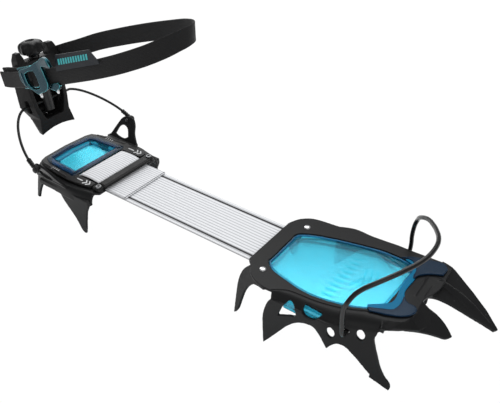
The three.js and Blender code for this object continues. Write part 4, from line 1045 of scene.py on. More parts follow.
# Blue pads on top of the plate: name, bottom and top above the steel, corner angle, material,
# outline of x, y.
PADS = [
    ("front_strip", 0.1, 1.05, 75, MID_BLUE, [
        (224, -18.6), (231.7, -12.2), (236.2, -7.6), (236.9, -1.8), (236.0, 3.6),
        (234.8, 12.3), (234.6, 22), (234.6, 31), (232.0, 36.4), (225, 39.2), (228, 41.0),
        (234.4, 39.0), (237.8, 32), (239.6, 22.6), (239.2, 14.7), (239.8, 6), (241.6, 2.3),
        (243.0, -6.8), (241.4, -13.4), (234.4, -17.9), (225.8, -21.6)]),
    ("tongue_right", 0.4, 1.75, 62, THICK_BLUE, [
        (225.5, -21.2), (227.8, -23.6), (239.4, -19.7), (249.9, -13.8), (252.9, -9.8),
        (253.6, -5), (252.4, -2.9), (245, -1.2), (240.9, 2.6), (242.0, -6.6), (240.5, -12.8),
        (234.0, -17.0)]),
    ("tongue_left", 0.4, 1.75, 62, THICK_BLUE, [
        (222, 39.4), (230, 45.0), (243, 49.0), (250.2, 50.4), (253.8, 47.6), (254.6, 38.8),
        (244.2, 32.4), (240.4, 27.8), (239.0, 22.6), (238.0, 24), (236.6, 32), (233.6, 37.6),
        (228, 40.4)])]
for name, bottom, top, corner, material, outline in PADS:
    pad = fuse("front_antisnow_" + name,
               [plate(outline, STEEL + bottom, STEEL + top, corner=corner)],
               voxel=0.0003, passes=3)
    set_attribute(pad, "painted_shade", 0)
    piece(pad, "front_section", material, "blue_tpu")

# ------------------------------------------------ clamp and rivets
clamp = fuse("band_clamp", (), voxel=0.0004, passes=2, source="band_clamp_plate")
set_attribute(clamp, "line", 0)
piece(clamp, "front_section", BLACK_STEEL, "black_steel", "band_clamp_plate")


def rivet_head(centre, axis, radius, height, base=0.0):
    profile = [(0.0, base - 0.6), (radius, base - 0.6), (radius, base)]
    for k in range(1, 8):
        angle = k / 8 * math.pi / 2
        profile.append((radius * math.cos(angle) * 0.999, base + height * math.sin(angle)))
    profile += [(radius * 0.18, base + height * 0.985), (0.0, base + height)]
    return lathe(profile, centre, axis, 40)


for side, side_name in SIDES:
    x, y = RIVET_X, side * RIVET_Y
    detail("band_rivet_" + side_name,
           [rivet_head((x, y, 0), (0, 0, 1), 2.5, 0.9, STEEL + 0.05),
            rivet_head((x, y, 0), (0, 0, -1), 2.9, 1.0, 4.5),
            rod((x, y, -5), (x, y, STEEL + 0.3), 1.95)],
           "front_section", ZINC, "bright_steel", weld=1e-6, angle=40)

# ------------------------------------------------ toe wire
BAIL_HALF = [  # right half, from its pivot up to the middle: x, y, z
    (BAIL_X, -31.6, BAIL_Z), (BAIL_X, -37, BAIL_Z), (BAIL_X, -41.2, BAIL_Z),
    (BAIL_X - 0.1, -43.9, BAIL_Z + 0.9), (BAIL_X - 0.2, -45.2, BAIL_Z + 3.4), (220.1, -45.9, 2),
    (219.8, -46.4, 8), (219.8, -46.7, 14), (220.4, -46.8, 20), (221.9, -46.3, 25.2),
    (224.0, -42.6, 30.0), (227.6, -38.6, 34.2), (231.7, -35, 37.2), (235.4, -31.1, 39.3),
    (239, -26.4, 41), (242.6, -21.4, 42.6), (245.8, -16.2, 44), (248.9, -10.5, 45.3),
    (251.5, -3.2, 46.2)]
left_half = []
for x, y, z in reversed(BAIL_HALF):
    left_y = 14 - y
    if y > -38 and z < 0:
        left_y = max(left_y, 48)
    if z < 4 and left_y > 45:  # the left flange stands further out
        left_y += 3.4 if y > -42 else 1.0
    left_half.append((x, left_y, z))
bail = smooth(BAIL_HALF + [(252.6, 7, 46.6)] + left_half, 8, 120, closed=False)
detail("toe_wire", [tube(bail, BAIL_R, 24, 260)], "toe_bail", WIRE, "black_wire")
STOP_PROFILE = [(1.75, 0.0), (2.4, 0.0), (2.9, 0.5), (2.9, 2.9), (2.5, 3.9), (1.6, 4.4),
                (1.2, 4.4), (1.2, 3.9), (1.75, 3.8)]
for side_name, y, inward in (("right", -35.0, 1), ("left", 51.2, -1)):
    detail("toe_wire_stop_" + side_name,
           [lathe(STOP_PROFILE, (BAIL_X, y, BAIL_Z), (0, inward, 0), 40)],
           "toe_bail", ZINC, "bright_steel", angle=35)


# =============================================================== LINKING BAND
def woven_band(name, x0, x1, half_width, z_mid, thick, columns, pitch=2.5, amp=0.12,
               lines=False, lift=lambda x: 0.0, round_ends=()):
    """A closed band along x with lengthwise ribs and rounded selvedges.

    lines adds two dark lines; lift(x) raises the band; round_ends are the x of rounded ends."""
    section = []  # y, half thickness, rib, dark line, selvedge
    for y in np.linspace(-half_width, half_width, int(2 * half_width / pitch) * 6 + 1):
        margin = half_width - abs(y)
        curl = max(0.0, 1 - margin / 0.8)
        half_thick = thick / 2 * math.sqrt(max(1 - curl * curl, 0.02))
        rib = 0.5 + 0.5 * math.cos(2 * math.pi * y / pitch)
        line = 1.0 if (lines and abs(abs(y) - (half_width - 4.6)) < 0.82) else 0.0
        half_thick = half_thick + amp * (rib - 0.5) * (1 - curl) - (0.12 if lines and line else 0)
        section.append((y, half_thick, rib, line, 1.0 if margin < 0.55 else 0.0))
    ring = section + [(y, -half_thick, *rest) for y, half_thick, *rest in reversed(section)]
    verts, uvs = [], []
    for x in np.linspace(x0, x1, columns):
        taper = 1.0
        for end in round_ends:
            curl = max(0.0, 1 - abs(x - end) / 0.7)
            taper = min(taper, math.sqrt(max(1 - curl**2, 0.04)))
        for y, half_thick, *rest in ring:
            verts.append(vec(x, y, z_mid + lift(x) + half_thick * taper))
            uvs.append((x * UNIT, y * UNIT))
    obj = link(name, verts, capped_rings(columns, len(ring)))
    set_uv(obj, uvs)
    for column, attribute in ((2, "rib"), (3, "dark"), (4, "edge")):
        set_attribute(obj, attribute, [row[column] for row in ring] * columns)
    fix_normals(obj)
    shade(obj, 60)
    return obj


def blend_band(obj, first, second, start_x, end_x, z, *nodes):
    """Paints a band, bakes its transform into the mesh and hides the named CAD nodes; first, second,
    start_x, end_x and z are not used.
    """
    paint(obj, BAND_CLOTH)
    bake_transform(obj)
    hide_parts(*nodes)


band = woven_band("linking_band", -49.4, 143.2, BAND_HALF, z_mid=-1.05, thick=1.4, columns=150,
                  pitch=2.94, amp=0.18, lines=True)
blend_band(band, "front_section", "rear_band", 128, 72, -1.05, "band_front", "band_rear")
band_tail = woven_band("linking_band_tail", -21.2, 2.2, 24.9, z_mid=0.62, thick=1.25, columns=31,
                       round_ends=(2.2,))
blend_band(band_tail, "heel_section", "band_end", -19.5, -0.5, 0.6, "band_tail")
# stitched hem across the tail's end
stitches = []
for k in range(33):
    y = -24 + 1.5 * k
    arch = [(1.2, y - 0.62, 1.12), (1.22, y, 1.42), (1.2, y + 0.62, 1.12)]
    stitches.append(tube(smooth(arch, 4, closed=False), 0.24, 8))
place("linking_band_hem", stitches, "band_end", THREAD, "white_band", "band_tail_hem")


def wrap_lift(x):
    share = (x + 52.4) / 23.8
    return 1.5 * math.sin(math.pi * np.clip(share, 0, 1)) ** 0.6


wrap = woven_band("linking_band_wrap", -52.6, -28.9, 24.9, z_mid=STEEL + 1.15, thick=1.4,
                  columns=40, lift=wrap_lift, round_ends=(-52.6, -28.9))
piece(wrap, "heel_section", BAND_CLOTH, "white_band", "band_wrap")

# =============================================================== HEEL PLATE
HEEL_OUTLINE = [  # x, y
    (-100.2, -30), (-103, -16), (-103, 16), (-100.2, 30), (-90, 36.5), (-84, 39), (-56, 41.5),
    (-44, 41), (-36, 38.4), (-24, 36.2), (-19.6, 33.4), (-19.6, -33.4), (-24, -36.2),
    (-36, -38.4), (-44, -41), (-56, -41.5), (-84, -39), (-90, -36.5)]
TRAY_HOLE = [  # x, y
    (-96.5, -21.5), (-98.5, 0), (-96.5, 21.5), (-86, 28), (-56, 29.5), (-54.6, 27),
    (-54.6, -27), (-56, -29.5), (-86, -28)]
# Left side; the right is its mirror image. Bend lines: x, y.
HEEL_CREASE = [(-86, 38.6), (-70, 40), (-56, 41.2), (-44, 40.8), (-34, 38.2), (-23, 35.8)]
HEEL_TOP = [(-86, 43.4), (-70, 44), (-56, 44.6), (-44, 44.6), (-34, 43.2), (-23, 41.6)]
# Side views: x, z.
HEEL_TOOTH = [
    (-59, -3), (-58.4, -8.4), (-55.0, -14), (-48.2, -20.6), (-40.6, -29.4), (-34, -38.4),
    (-31.6, -38.9), (-30.6, -34), (-28.8, -24), (-26.4, -14), (-23.8, -8), (-23.4, -3)]
HEEL_RAIL = [(-86, -3), (-86, -6.8), (-78, -7.6), (-66, -6.8), (-56, -7.2), (-47, -9.4), (-46, -3)]
LUG_OUTLINE = [
    (-88, -0.5), (-85, 3.2), (-79.6, 12.6), (-74.6, 19.8), (-71.4, 21.6), (-66, 22.1),
    (-61.6, 21.2), (-58.8, 18.0), (-56.2, 9.6), (-51.4, 2.6), (-49.6, -0.5)]
LUG_HOLE = [(-79.6, 4.6), (-75.0, 12.6), (-71.6, 13.8), (-67.0, 12.8), (-62.8, 5.6),
            (-66, 3.6), (-76.0, 3.6)]
# Solid points: x, y, z.
LUG_FOOT = [
    (-88, 40.6, 0), (-88, 40.6, 2.2), (-50.5, 40.8, 0), (-50.5, 40.8, 2.2), (-88, 44.0, 0.2),
    (-88, 44.4, 2.0), (-50.5, 44.0, 0.2), (-50.5, 44.4, 2.0), (-86, 45.2, 2.8),
    (-52.6, 45.2, 2.8)]
HEEL_REAR_TOOTH = [
    (-97.8, 32.4, 2.0), (-84, 39.4, 2.0), (-84.6, 40.6, -5), (-88.6, 41, -11.5),
    (-91.6, 42.2, -18.4), (-92.4, 43.6, -25.6), (-95.8, 43.0, -25.8), (-97.6, 40.6, -17),
    (-98.8, 37.2, -8), (-99.4, 33.4, -1)]
LUG_LEAN = math.tan(math.radians(27))
PIN_X, PIN_Y, PIN_Z = -68.5, 52.6, 19.0
SCREW_X, SCREW_Y = -23, 30.4  # crossbar screws


def heel_bend(side):
    return bend_shell(mirrored(HEEL_CREASE, side), mirrored(HEEL_TOP, side), -side, cols=40)


def heel_flange(outline, side):
    points = [(x, side * (44.2 + (z + 6) * -0.036), z) for x, z in outline]
    return panel(points, outside=(0, side, 0))


def lug(side):
    """Upright ear that carries the cable pin, and its foot on the plate."""
    outline, hole = [
        smooth([(x, side * (43.6 + (z - 1) * LUG_LEAN), z) for x, z in loop], corner=70)
        for loop in (LUG_OUTLINE, LUG_HOLE)]
    normal = unit((0, side, -LUG_LEAN))
    return [shell(outline, -normal * STEEL, [hole]), hull(mirrored(LUG_FOOT, side))]


rear_skirt = panel([(-102.6, -15, 2), (-103.2, -15, -5), (-103.2, 15, -5), (-102.6, 15, 2)],
                   outside=(-1, 0, 0))
heel = fuse(
    "heel_steel",
    [plate(HEEL_OUTLINE, 0, STEEL, [TRAY_HOLE]), heel_bend(1), heel_bend(-1)]
    + [heel_flange(outline, side) for outline in (HEEL_TOOTH, HEEL_RAIL) for side in (1, -1)]
    + [panel(mirrored(HEEL_REAR_TOOTH, side), outside=(-0.4, side, 0)) for side in (1, -1)]
    + [rear_skirt] + lug(1) + lug(-1),
    voxel=0.00036, passes=4,
    cutters=[rod((PIN_X, y0, PIN_Z), (PIN_X, y1, PIN_Z), 1.55) for y0, y1 in ((-70, -45), (45, 70))]
    + [box(-135, 40, -BAND_HALF - CLEARANCE, BAND_HALF + CLEARANCE, -20, 0),
       box(-31.4, -10, -26, 26, -5, 5)]
    + [rod((SCREW_X, y, -5), (SCREW_X, y, 8), 1.75) for y in (-SCREW_Y, SCREW_Y)])
set_attribute(heel, "line", 0)
piece(heel, "heel_section", BLACK_STEEL, "black_steel", "heel_frame")

# ------------------------------------------------ blue tray: rim over the bezel, wall, floor
TRAY_RIM = [  # x, y
    (-97.6, -22.6), (-99.6, 0), (-97.6, 22.6), (-86.4, 29.2), (-56, 31.0), (-53.6, 28),
    (-53.6, -28), (-56, -31.0), (-86.4, -29.2)]
TRAY_FRONT_X = -53.7
TRAY_LEVELS = [  # distance in from the rim, z
    (0.0, 4.2), (0.15, 4.75), (0.9, 5.0), (5.6, 4.9), (6.3, 4.5), (6.9, 2.5), (7.4, 2.1),
    (8.9, 2.0), (9.4, 1.7), (10.0, 0.95), (10.8, 0.75)]
tray_rim = smooth(smooth(TRAY_RIM, 4, 70), 2)
loops = [[vec(min(x, TRAY_FRONT_X), y, z) for x, y in offset_loop(tray_rim, inset)]
         for inset, z in TRAY_LEVELS]
size = len(loops[0])
faces = ring_quads(len(loops), size)
floor_start = (len(loops) - 1) * size
faces += [tuple(floor_start + i for i in t)
          for t in tessellate_polygon([[Vector(p) for p in loops[-1]]])]
tray = link("heel_tray_blue", [p for loop in loops for p in loop], faces)
fix_normals(tray, 1e-6)
# the open sheet has to face up before it is thickened downwards
work = bmesh.new()
work.from_mesh(tray.data)
if sum(f.normal.z * f.calc_area() for f in work.faces) < 0:
    bmesh.ops.reverse_faces(work, faces=work.faces)
work.to_mesh(tray.data)
work.free()
add_modifier(tray, "SOLIDIFY", thickness=0.00055, offset=-1.0, use_even_offset=False)
bake(tray)
# painted shade: the wall and the rim over the bezel darker, with a painted highlight on the shelf
z = layout_points(tray)[:, 2]
wall_shade = np.clip((4.4 - z) / 0.5, 0, 1) * np.clip((z - 0.8) / 0.25, 0, 1)
shelf_highlight = (np.abs(z - 2.3) < 0.25) * 0.35
rim_shade = np.clip((z - 4.2) / 0.3, 0, 1) * 0.92
set_attribute(tray, "painted_shade", np.clip(np.maximum(wall_shade * 0.62, rim_shade * 1.08) - shelf_highlight, 0, 1))
shade(tray, 50)
piece(tray, "heel_section", HEEL_BLUE, "blue_tpu", "heel_antisnow_tray")

refine("heel_bezel",
       [box(-31.5, -29.6, -33, -27.2, 3.2, 5.2), box(-31.5, -29.6, 27.2, 33, 3.2, 5.2)]
       + [rod((-92, side * 31.6, 4.2), (-58, side * 35.2, 4.2), 0.9) for side in (-1, 1)],
       "heel_section", GLOSS_NYLON, "black_nylon", voxel=0.00032, passes=3)
refine("crossbar",
       [box(-27.2, -18.2, -27.4, 27.4, 3.6, 5.9), box(-26.2, -19.6, -26.4, 26.4, 5.5, 6.5)],
       "heel_section", NYLON, "black_nylon", voxel=0.00034, passes=6)
# pale marks on both sides: two chevrons, a dash and four ticks
marks = []
z = STEEL + 2.45
for side in (-1, 1):
    for x in (-40.0, -40.0 + 3.8):
        chevron = [(x, side * 28.4, z), (x + 2.6, side * 31.0, z), (x, side * 33.6, z)]
        marks.append(tube(chevron, 0.58, 10, 13))
    marks.append(tube([(-49, side * 31, z), (-42.6, side * 31, z)], 0.55, 10, 5))
    for k in range(4):
        x = -80 + k * 2.6
        marks.append(tube([(x, side * 31.4, z), (x, side * 33.8, z)], 0.36, 8, 4))
place("heel_index_marks", marks, "heel_section", PALE_PRINT, "black_nylon")


def screw_head(centre, axis, radius, height, base=0.0):
    """A round head with a hexagonal socket."""
    socket = radius * 0.55
    socket_foot = socket * 0.96
    profile = [
        (0.0, base - 1.0), (radius * 0.5, base - 1.0), (radius * 0.5, base),
        (radius * 0.94, base), (radius, base + 0.15), (radius, base + height * 0.6),
        (radius * 0.86, base + height * 0.95), (radius * 0.6, base + height),
        (socket, base + height), (socket_foot, base + height * 0.35), (0.0, base + height * 0.3)]

    def hexagonal(angle, radius, height):
        if radius in (socket, socket_foot):
            return radius * 0.9 / math.cos((angle % (math.pi / 3)) - math.pi / 6)
        return radius
    return lathe(profile, centre, axis, 48, hexagonal)


for side, side_name in SIDES:
    x, y = SCREW_X, side * SCREW_Y
    detail("crossbar_screw_" + side_name,
           [screw_head((x, y, 0), (0, 0, 1), 2.6, 1.2, base=STEEL + 3.3),
            rod((x, y, -1.6), (x, y, STEEL + 3.4), 1.4)],
           "heel_section", DARK_ZINC, "bright_steel", weld=1e-6, angle=35)
    outer, inner, rod_end = [(PIN_X, side * (PIN_Y + dy), PIN_Z) for dy in (5.0, -2.4, 5.2)]
    detail("cable_pin_" + side_name,
           [rivet_head(outer, (0, side, 0), 2.5, 1.3),
            rod((PIN_X, side * (PIN_Y - 2.2), PIN_Z), rod_end, 1.3),
            rivet_head(inner, (0, -side, 0), 2.1, 0.8)],
           "heel_section", OXIDE, "black_steel", weld=1e-6, angle=40)

# =============================================================== HEEL CABLE
# The lever leans back: places on it are given as distance back, y, distance up its length.
LEVER_ORIGIN = vec(-104.4, 0, 22.7)
LEVER_BACK, LEVER_UP = vec(-0.9887, 0, -0.15), vec(-0.15, 0, 0.9887)
SCREW_BACK = 6.5  # the adjuster screw's axis


def on_lever(back, y, up):
    point = LEVER_ORIGIN + LEVER_BACK * back + LEVER_UP * up
    return vec(point[0], y, point[2])


EXIT_X, _, EXIT_Z = on_lever(SCREW_BACK, 0, 27)


def strand(side):
    """The cable on one side, from the lever to its pin: a Bezier curve."""
    start, lead, pull, end = [vec(*p) for p in mirrored(
        [(EXIT_X, 26, EXIT_Z), (EXIT_X + 2.4, 40, EXIT_Z - 3), (-87.5, 55.2, 30.6),
         (PIN_X - 3.1, PIN_Y + 3.1, PIN_Z + 1.9)], side)]
    return [(1 - t) ** 3 * start + 3 * (1 - t) ** 2 * t * lead + 3 * (1 - t) * t * t * pull
            + t**3 * end for t in np.linspace(0, 1, 40)]


def rope_radius(along, angle):
    return 1.16 * (0.93 + 0.07 * abs(math.sin(3.5 * angle + along * 1.1)))


def sleeve_radius(along, angle):
    return 1.75 + 0.28 * (1 if (along % 2.2) < 1.3 else 0)


cable = list(reversed(strand(-1))) + [vec(EXIT_X, y, EXIT_Z) for y in range(-20, 21, 10)] + strand(1)
detail("heel_cable", [tube(cable, rope_radius, 28, 620)], "cable", CABLE, "black_cable")
EYE_R, EYE_TURNS = 2.55, 2.6
for side, side_name in SIDES:
    end = strand(side)
    coil = []
    y0, y1 = PIN_Y + 1.7, PIN_Y + 4.3
    for share in np.linspace(0, 1, 120):
        angle = 2 * math.pi * EYE_TURNS * share + 0.9
        coil.append(vec(PIN_X + EYE_R * math.cos(angle), side * (y0 + (y1 - y0) * share),
                        PIN_Z + EYE_R * math.sin(angle)))
    detail("cable_eye_" + side_name,
           [tube(coil, 0.82, 14), tube([end[-6], end[-1]], sleeve_radius, 24, 60),
            rod((PIN_X, side * y0, PIN_Z), (PIN_X, side * y1, PIN_Z), 2.3, 28)],
           "cable", WIRE, "black_wire", angle=50)

# =============================================================== HEEL LEVER
STRAP_X, _, STRAP_Z = on_lever(5.5, 0, 60)  # axis of the strap's rivets
KNOB_FOOT = on_lever(SCREW_BACK, 0, 70.4)


def hump(side, outer_y):
    """Raised shoulder beside the knob that the strap's rivet passes through."""
    return hull([on_lever(back, side * y, up) for back, y, up in [
        (0.5, 12.8, 58), (12.5, 12.8, 58), (0.8, outer_y, 58), (12.5, outer_y, 58),
        (1.4, 13.4, 70), (11.6, 13.4, 70), (1.8, outer_y - 0.6, 69), (11.4, outer_y - 0.6, 69),
        (3.6, 14.4, 75.2), (9.6, 14.4, 75.2), (3.8, outer_y - 2.4, 74.8),
        (9.4, outer_y - 2.4, 74.8)]])


refine("lever_shell", [hump(1, 23.0), hump(-1, 20.6)], "heel_lever", NYLON, "black_nylon",
       voxel=0.00040, passes=6,
       cutters=[rod((STRAP_X, -40, STRAP_Z), (STRAP_X, 40, STRAP_Z), 1.65),
                lathe([(0.001, -3), (11.9, -3), (11.9, 16), (0.001, 16)], KNOB_FOOT, LEVER_UP, 60)])
grips = []
for k in range(7):
    up = 19 + k * 4.4
    ridge = [on_lever(16.7, -12.5, up), on_lever(17.0, 0, up - 1.4), on_lever(16.7, 12.5, up)]
    grips.append(tube(smooth(ridge, closed=False), 0.75, 12, 30))
refine("lever_rear_cover", grips, "heel_lever", KNOB_NYLON, "black_nylon",
       voxel=0.00032, passes=3)
for level, up, shank_back in (("lower", 14.2, 12.4), ("upper", 51.2, 9.9)):
    seat = on_lever(16.6, 0, up)
    detail("cover_screw_" + level,
           [screw_head(seat, LEVER_BACK, 2.2, 1.2), rod(on_lever(shank_back, 0, up), seat, 1.15)],
           "heel_lever", OXIDE, "black_steel", weld=1e-6, angle=35)
refine("barrel_nut", (), "barrel", OXIDE, "black_steel", voxel=0.00026, passes=3)
SCREW_START = 29.3 + 0.004 / UNIT  # 4 mm above 29.3 units up the lever


def thread_radius(along, angle):
    return 2.02 + 0.2 * math.sin(along * 2 * math.pi / 0.95 + angle)


detail("adjuster_screw",
       [tube([on_lever(SCREW_BACK, 0, SCREW_START), on_lever(SCREW_BACK, 0, 72)],
             thread_radius, 24, 260),
        rod(on_lever(SCREW_BACK, 0, 66.6), on_lever(SCREW_BACK, 0, 67.6), 4.6, 36)],
       "adjuster", OXIDE, "black_steel", angle=45)

# knob: seven deep flutes, domed top with a dished centre
FLUTES, FLUTE_DEPTH, FLUTE_FROM = 7, 1.9, 6.8
KNOB_PROFILE = [  # radius, height
    (2.5, -2.2), (6.2, -2.2), (6.4, -0.1), (8.6, 0.0), (10.2, 0.5), (11.0, 1.5), (11.35, 3.0),
    (11.4, 5.2), (11.1, 7.2), (10.2, 8.6), (8.8, 9.5), (7.2, 10.1), (5.4, 10.7), (4.4, 10.8),
    (3.7, 10.5), (3.3, 9.4), (0.001, 9.2), (0.001, 4.2), (2.5, 4.0)]


def fluted(angle, radius, height):
    if radius < FLUTE_FROM:
        return radius
    crest = 0.5 + 0.5 * math.cos(FLUTES * angle)
    middle = math.sin(math.pi * np.clip((height - 0.5) / 9.6, 0, 1)) ** 0.5
    fade = min(1, (radius - FLUTE_FROM) / 3.0)
    return radius - FLUTE_DEPTH * (1 - crest) ** 1.4 * middle * fade


knob = solid("adjuster_knob_fine", [lathe(KNOB_PROFILE, KNOB_FOOT, LEVER_UP, 112, fluted)],
             weld=1e-6)
add_modifier(knob, "SUBSURF", levels=1, render_levels=1)
bake(knob)
shade(knob)
piece(knob, "adjuster", KNOB_NYLON, "black_nylon", "adjuster_knob")


# =============================================================== STRAP
def upright(tangent):
    """Up across the strap, and sideways through it."""
    up = unit(vec(0, 0, 1) - tangent * tangent[2])
    return up, unit(np.cross(up, tangent))


def webbing(node, path, width, thick, steps, body):
    """Webbing along a path, as upright as it can stand, with rounded selvedges.

    Returns the points and directions of its middle line."""
    path = resample(smooth(path, 8, 120, closed=False), steps)
    tangents = np.gradient(path, axis=0)
    tangents /= norm(tangents, axis=1)[:, None]
    along = path_lengths(path)
    section = []
    for i in range(23):
        across = -1 + 2 * i / 22
        curl = max(0.0, (abs(across) - 0.90) / 0.10)
        bead = 1.05 if 0.80 < abs(across) < 0.93 else 1.0
        half_thick = thick / 2 * math.sqrt(max(1 - curl * curl, 0.03)) * bead
        section.append((across * width / 2, half_thick))
    ring = section + [(height, -half_thick) for height, half_thick in reversed(section)]
    verts, uvs = [], []
    for k in range(steps):
        up, sideways = upright(tangents[k])
        for height, half_thick in ring:
            verts.append(path[k] + up * height + sideways * half_thick)
            back = 100 if half_thick < 0 else 0  # the back has its own place in the UV map
            uvs.append((along[k] * UNIT, (height + back) * UNIT))
    obj = link(node + "_fine", verts, capped_rings(steps, len(ring)))
    set_uv(obj, uvs)
    fix_normals(obj)
    shade(obj, 55)
    piece(obj, body, WEBBING, "black_webbing", node)
    return path, tangents


STRAP_WIDTH, STRAP_THICK = 14.4, 1.6
# Middle lines: x, y, z.
STRAP_LOOP = [
    (-82, -32.2, 89.6), (-66, -33, 94.6), (-54, -33.2, 98.6), (-28, -33, 108),
    (-1, -31.6, 118), (24, -27.6, 128), (44, -19.6, 137), (57, -9, 144.2), (61, 2, 147),
    (55, 13.4, 145.6), (41, 22, 141.4), (20, 28, 134.4), (-9, 31, 125), (-44, 31.4, 113),
    (-70, 30.6, 103.4), (-92, 28.6, 94), (-108, 26.4, 87.6), (STRAP_X - 1, 25.2, STRAP_Z + 1.4),
    (STRAP_X - 6, 25.0, STRAP_Z - 0.6)]
STRAP_TAIL = [(-83.4, -34.6, 89.2), (-95, -33.6, 85.4), (-107, -32.4, 81.4),
              (-117, -31.8, 78.6), (-126, -31.2, 76.6)]
STRAP_STUB = [(STRAP_X - 6, -28.3, STRAP_Z - 1.6), (STRAP_X, -28.3, STRAP_Z + 0.2),
              (-108, -28.5, 84), (-99.2, -28.8, 86.6)]
strap_path, strap_tangents = webbing("ankle_strap", STRAP_LOOP, STRAP_WIDTH, STRAP_THICK, 260,
                                     "strap")
webbing("strap_tail", STRAP_TAIL, STRAP_WIDTH - 0.6, STRAP_THICK - 0.2, 60, "strap_end")
webbing("strap_stub", STRAP_STUB, STRAP_WIDTH - 1, STRAP_THICK, 40, "strap")


# a box of stitches with both diagonals, on the outside of the strap's left end
def on_strap(x, height):
    k = np.argmin(np.abs(strap_path[:, 0] - x) + 100 * (strap_path[:, 1] < 0))
    up, sideways = upright(strap_tangents[k])
    sign = 1 if sideways[1] > 0 else -1
    return strap_path[k] + up * height + sideways * sign * 0.85


def stitch_line(start, end, pitch=1.5):
    count = max(1, int(norm(end - start) / pitch))
    line = []
    for k in range(count):
        p, q = [start + (end - start) * (k + share) / count for share in (0.12, 0.88)]
        arch = [p, (p + q) / 2 + vec(0, 1, 0) * 0.35, q]
        line.append(tube(smooth(arch, 4, closed=False), 0.2, 7))
    return line


rear_low, rear_high, front_low, front_high = [
    on_strap(x, height) for x in (-104, -91) for height in (-5, 5)]
stitches = []
for start, end in ((rear_low, front_low), (rear_high, front_high), (rear_low, rear_high),
                   (front_low, front_high), (rear_low, front_high), (rear_high, front_low)):
    stitches += stitch_line(start, end)
place("strap_stitching", stitches, "strap", THREAD, "black_webbing")

for side, side_name, y in ((1, "left", 26.9), (-1, "right", 29.5)):
    detail("strap_rivet_" + side_name,
           [rivet_head((STRAP_X, side * y, STRAP_Z), (0, side, 0), 3.2, 1.2),
            rod((STRAP_X, side * 13.5, STRAP_Z), (STRAP_X, side * (y + 0.2), STRAP_Z), 1.45)],
           "heel_lever", DARK_ZINC, "bright_steel", weld=1e-6, angle=40)

# thin label on the right of the strap, with a row of slanted bars
PATCH_ALONG, PATCH_UP = unit((0.94, 0.031, 0.34)), unit((-0.34, 0, 0.94))
PATCH_OUT = unit(np.cross(PATCH_ALONG, PATCH_UP))
if PATCH_OUT[1] > 0:
    PATCH_OUT = -PATCH_OUT
PATCH_CENTRE = vec(-20, -33.95, 118)
PATCH_OUTLINE = [  # along, up
    (-25.4, -2.6), (26.4, -2.4), (25, 0.6), (20, 8.6), (-19.6, 9.6), (-25, 0.6)]


def on_patch(along, up, out):
    return PATCH_CENTRE + PATCH_ALONG * along + PATCH_UP * up + PATCH_OUT * out


outline = smooth([on_patch(along, up, 1.05) for along, up in PATCH_OUTLINE], 8, 20)
patch = solid("strap_patch_fine", [shell(outline, -PATCH_OUT)], weld=1e-6)
add_modifier(patch, "BEVEL", width=0.00035, segments=3, limit_method="ANGLE")
bake(patch)
metres = vertex_vectors(patch, "co")
set_uv(patch, np.stack([metres @ PATCH_ALONG, metres @ PATCH_UP], 1))
shade(patch, 40)
piece(patch, "strap", LABEL, "black_webbing", "strap_patch")
bars = []
for k in range(12):
    start, top = -19.6 + k * 3.05, 6.3 - 0.02 * k
    corners = [(start, 1.9), (start + 1.9, 1.9), (start + 3.2, top), (start + 1.3, top)]
    bars.append(shell([on_patch(along, up, 1.22) for along, up in corners], -PATCH_OUT * 0.35))
piece(solid("strap_patch_stripes", bars), "strap", TEAL_PRINT, "teal_alloy")

# =============================================================== BUCKLE
BUCKLE_ORIGIN = vec(-79, -35.6, 91.4)
BUCKLE_ALONG, BUCKLE_UP = unit((0.94, 0.0, 0.34)), unit((-0.34, 0, 0.94))
BUCKLE_OUT = unit(np.cross(BUCKLE_ALONG, BUCKLE_UP))
if BUCKLE_OUT[1] >= 0:  # away from the boot
    BUCKLE_OUT = -BUCKLE_OUT
# Outlines: along, up.
RING_OUTER = [
    (-9, 4), (-6.8, 7.6), (2, 9), (10.6, 10), (18, 11.4), (24.4, 11.4), (25.7, 8.1), (25.6, 1),
    (24.9, -6.9), (19.5, -10.9), (12.3, -12), (7.8, -12.8), (1.3, -8.9), (-4.6, -6.2),
    (-8.3, -2.1)]
RING_HOLE = [(-1.2, 4.8), (7.4, 6.4), (13.2, 6.0), (14.2, -1), (12.8, -8.4), (3.0, -8.2),
             (-0.8, -4.6)]
BEAK = [
    (14, 4), (15, 10), (24.1, 12.9), (33.3, 15), (38.9, 12.6), (39.9, 7.1), (36.7, 6),
    (30, 8.2), (26.6, 8.2), (24.8, 4), (20, 1)]
RING_INSIDE, RING_OUTSIDE = 0.75, 3.3  # heights of the hook ring's faces


def on_buckle(along, up, out):
    return BUCKLE_ORIGIN + BUCKLE_ALONG * along + BUCKLE_UP * up + BUCKLE_OUT * out


def buckle_plate(outer, holes, corner):
    outer, *holes = [
        smooth([on_buckle(along, up, RING_OUTSIDE) for along, up in loop], 7, corner)
        for loop in (outer, *holes)]
    return shell(outer, -BUCKLE_OUT * (RING_OUTSIDE - RING_INSIDE), holes)


hook_ring = fuse(
    "buckle_hook_ring_fine",
    [buckle_plate(RING_OUTER, [RING_HOLE], corner=70), buckle_plate(BEAK, [], corner=85),
     tube([on_buckle(-5.0, -4.6, 2.2), on_buckle(-5.0, 5.6, 2.2)], 1.7, 16, 12)],
    voxel=0.00024, passes=6)
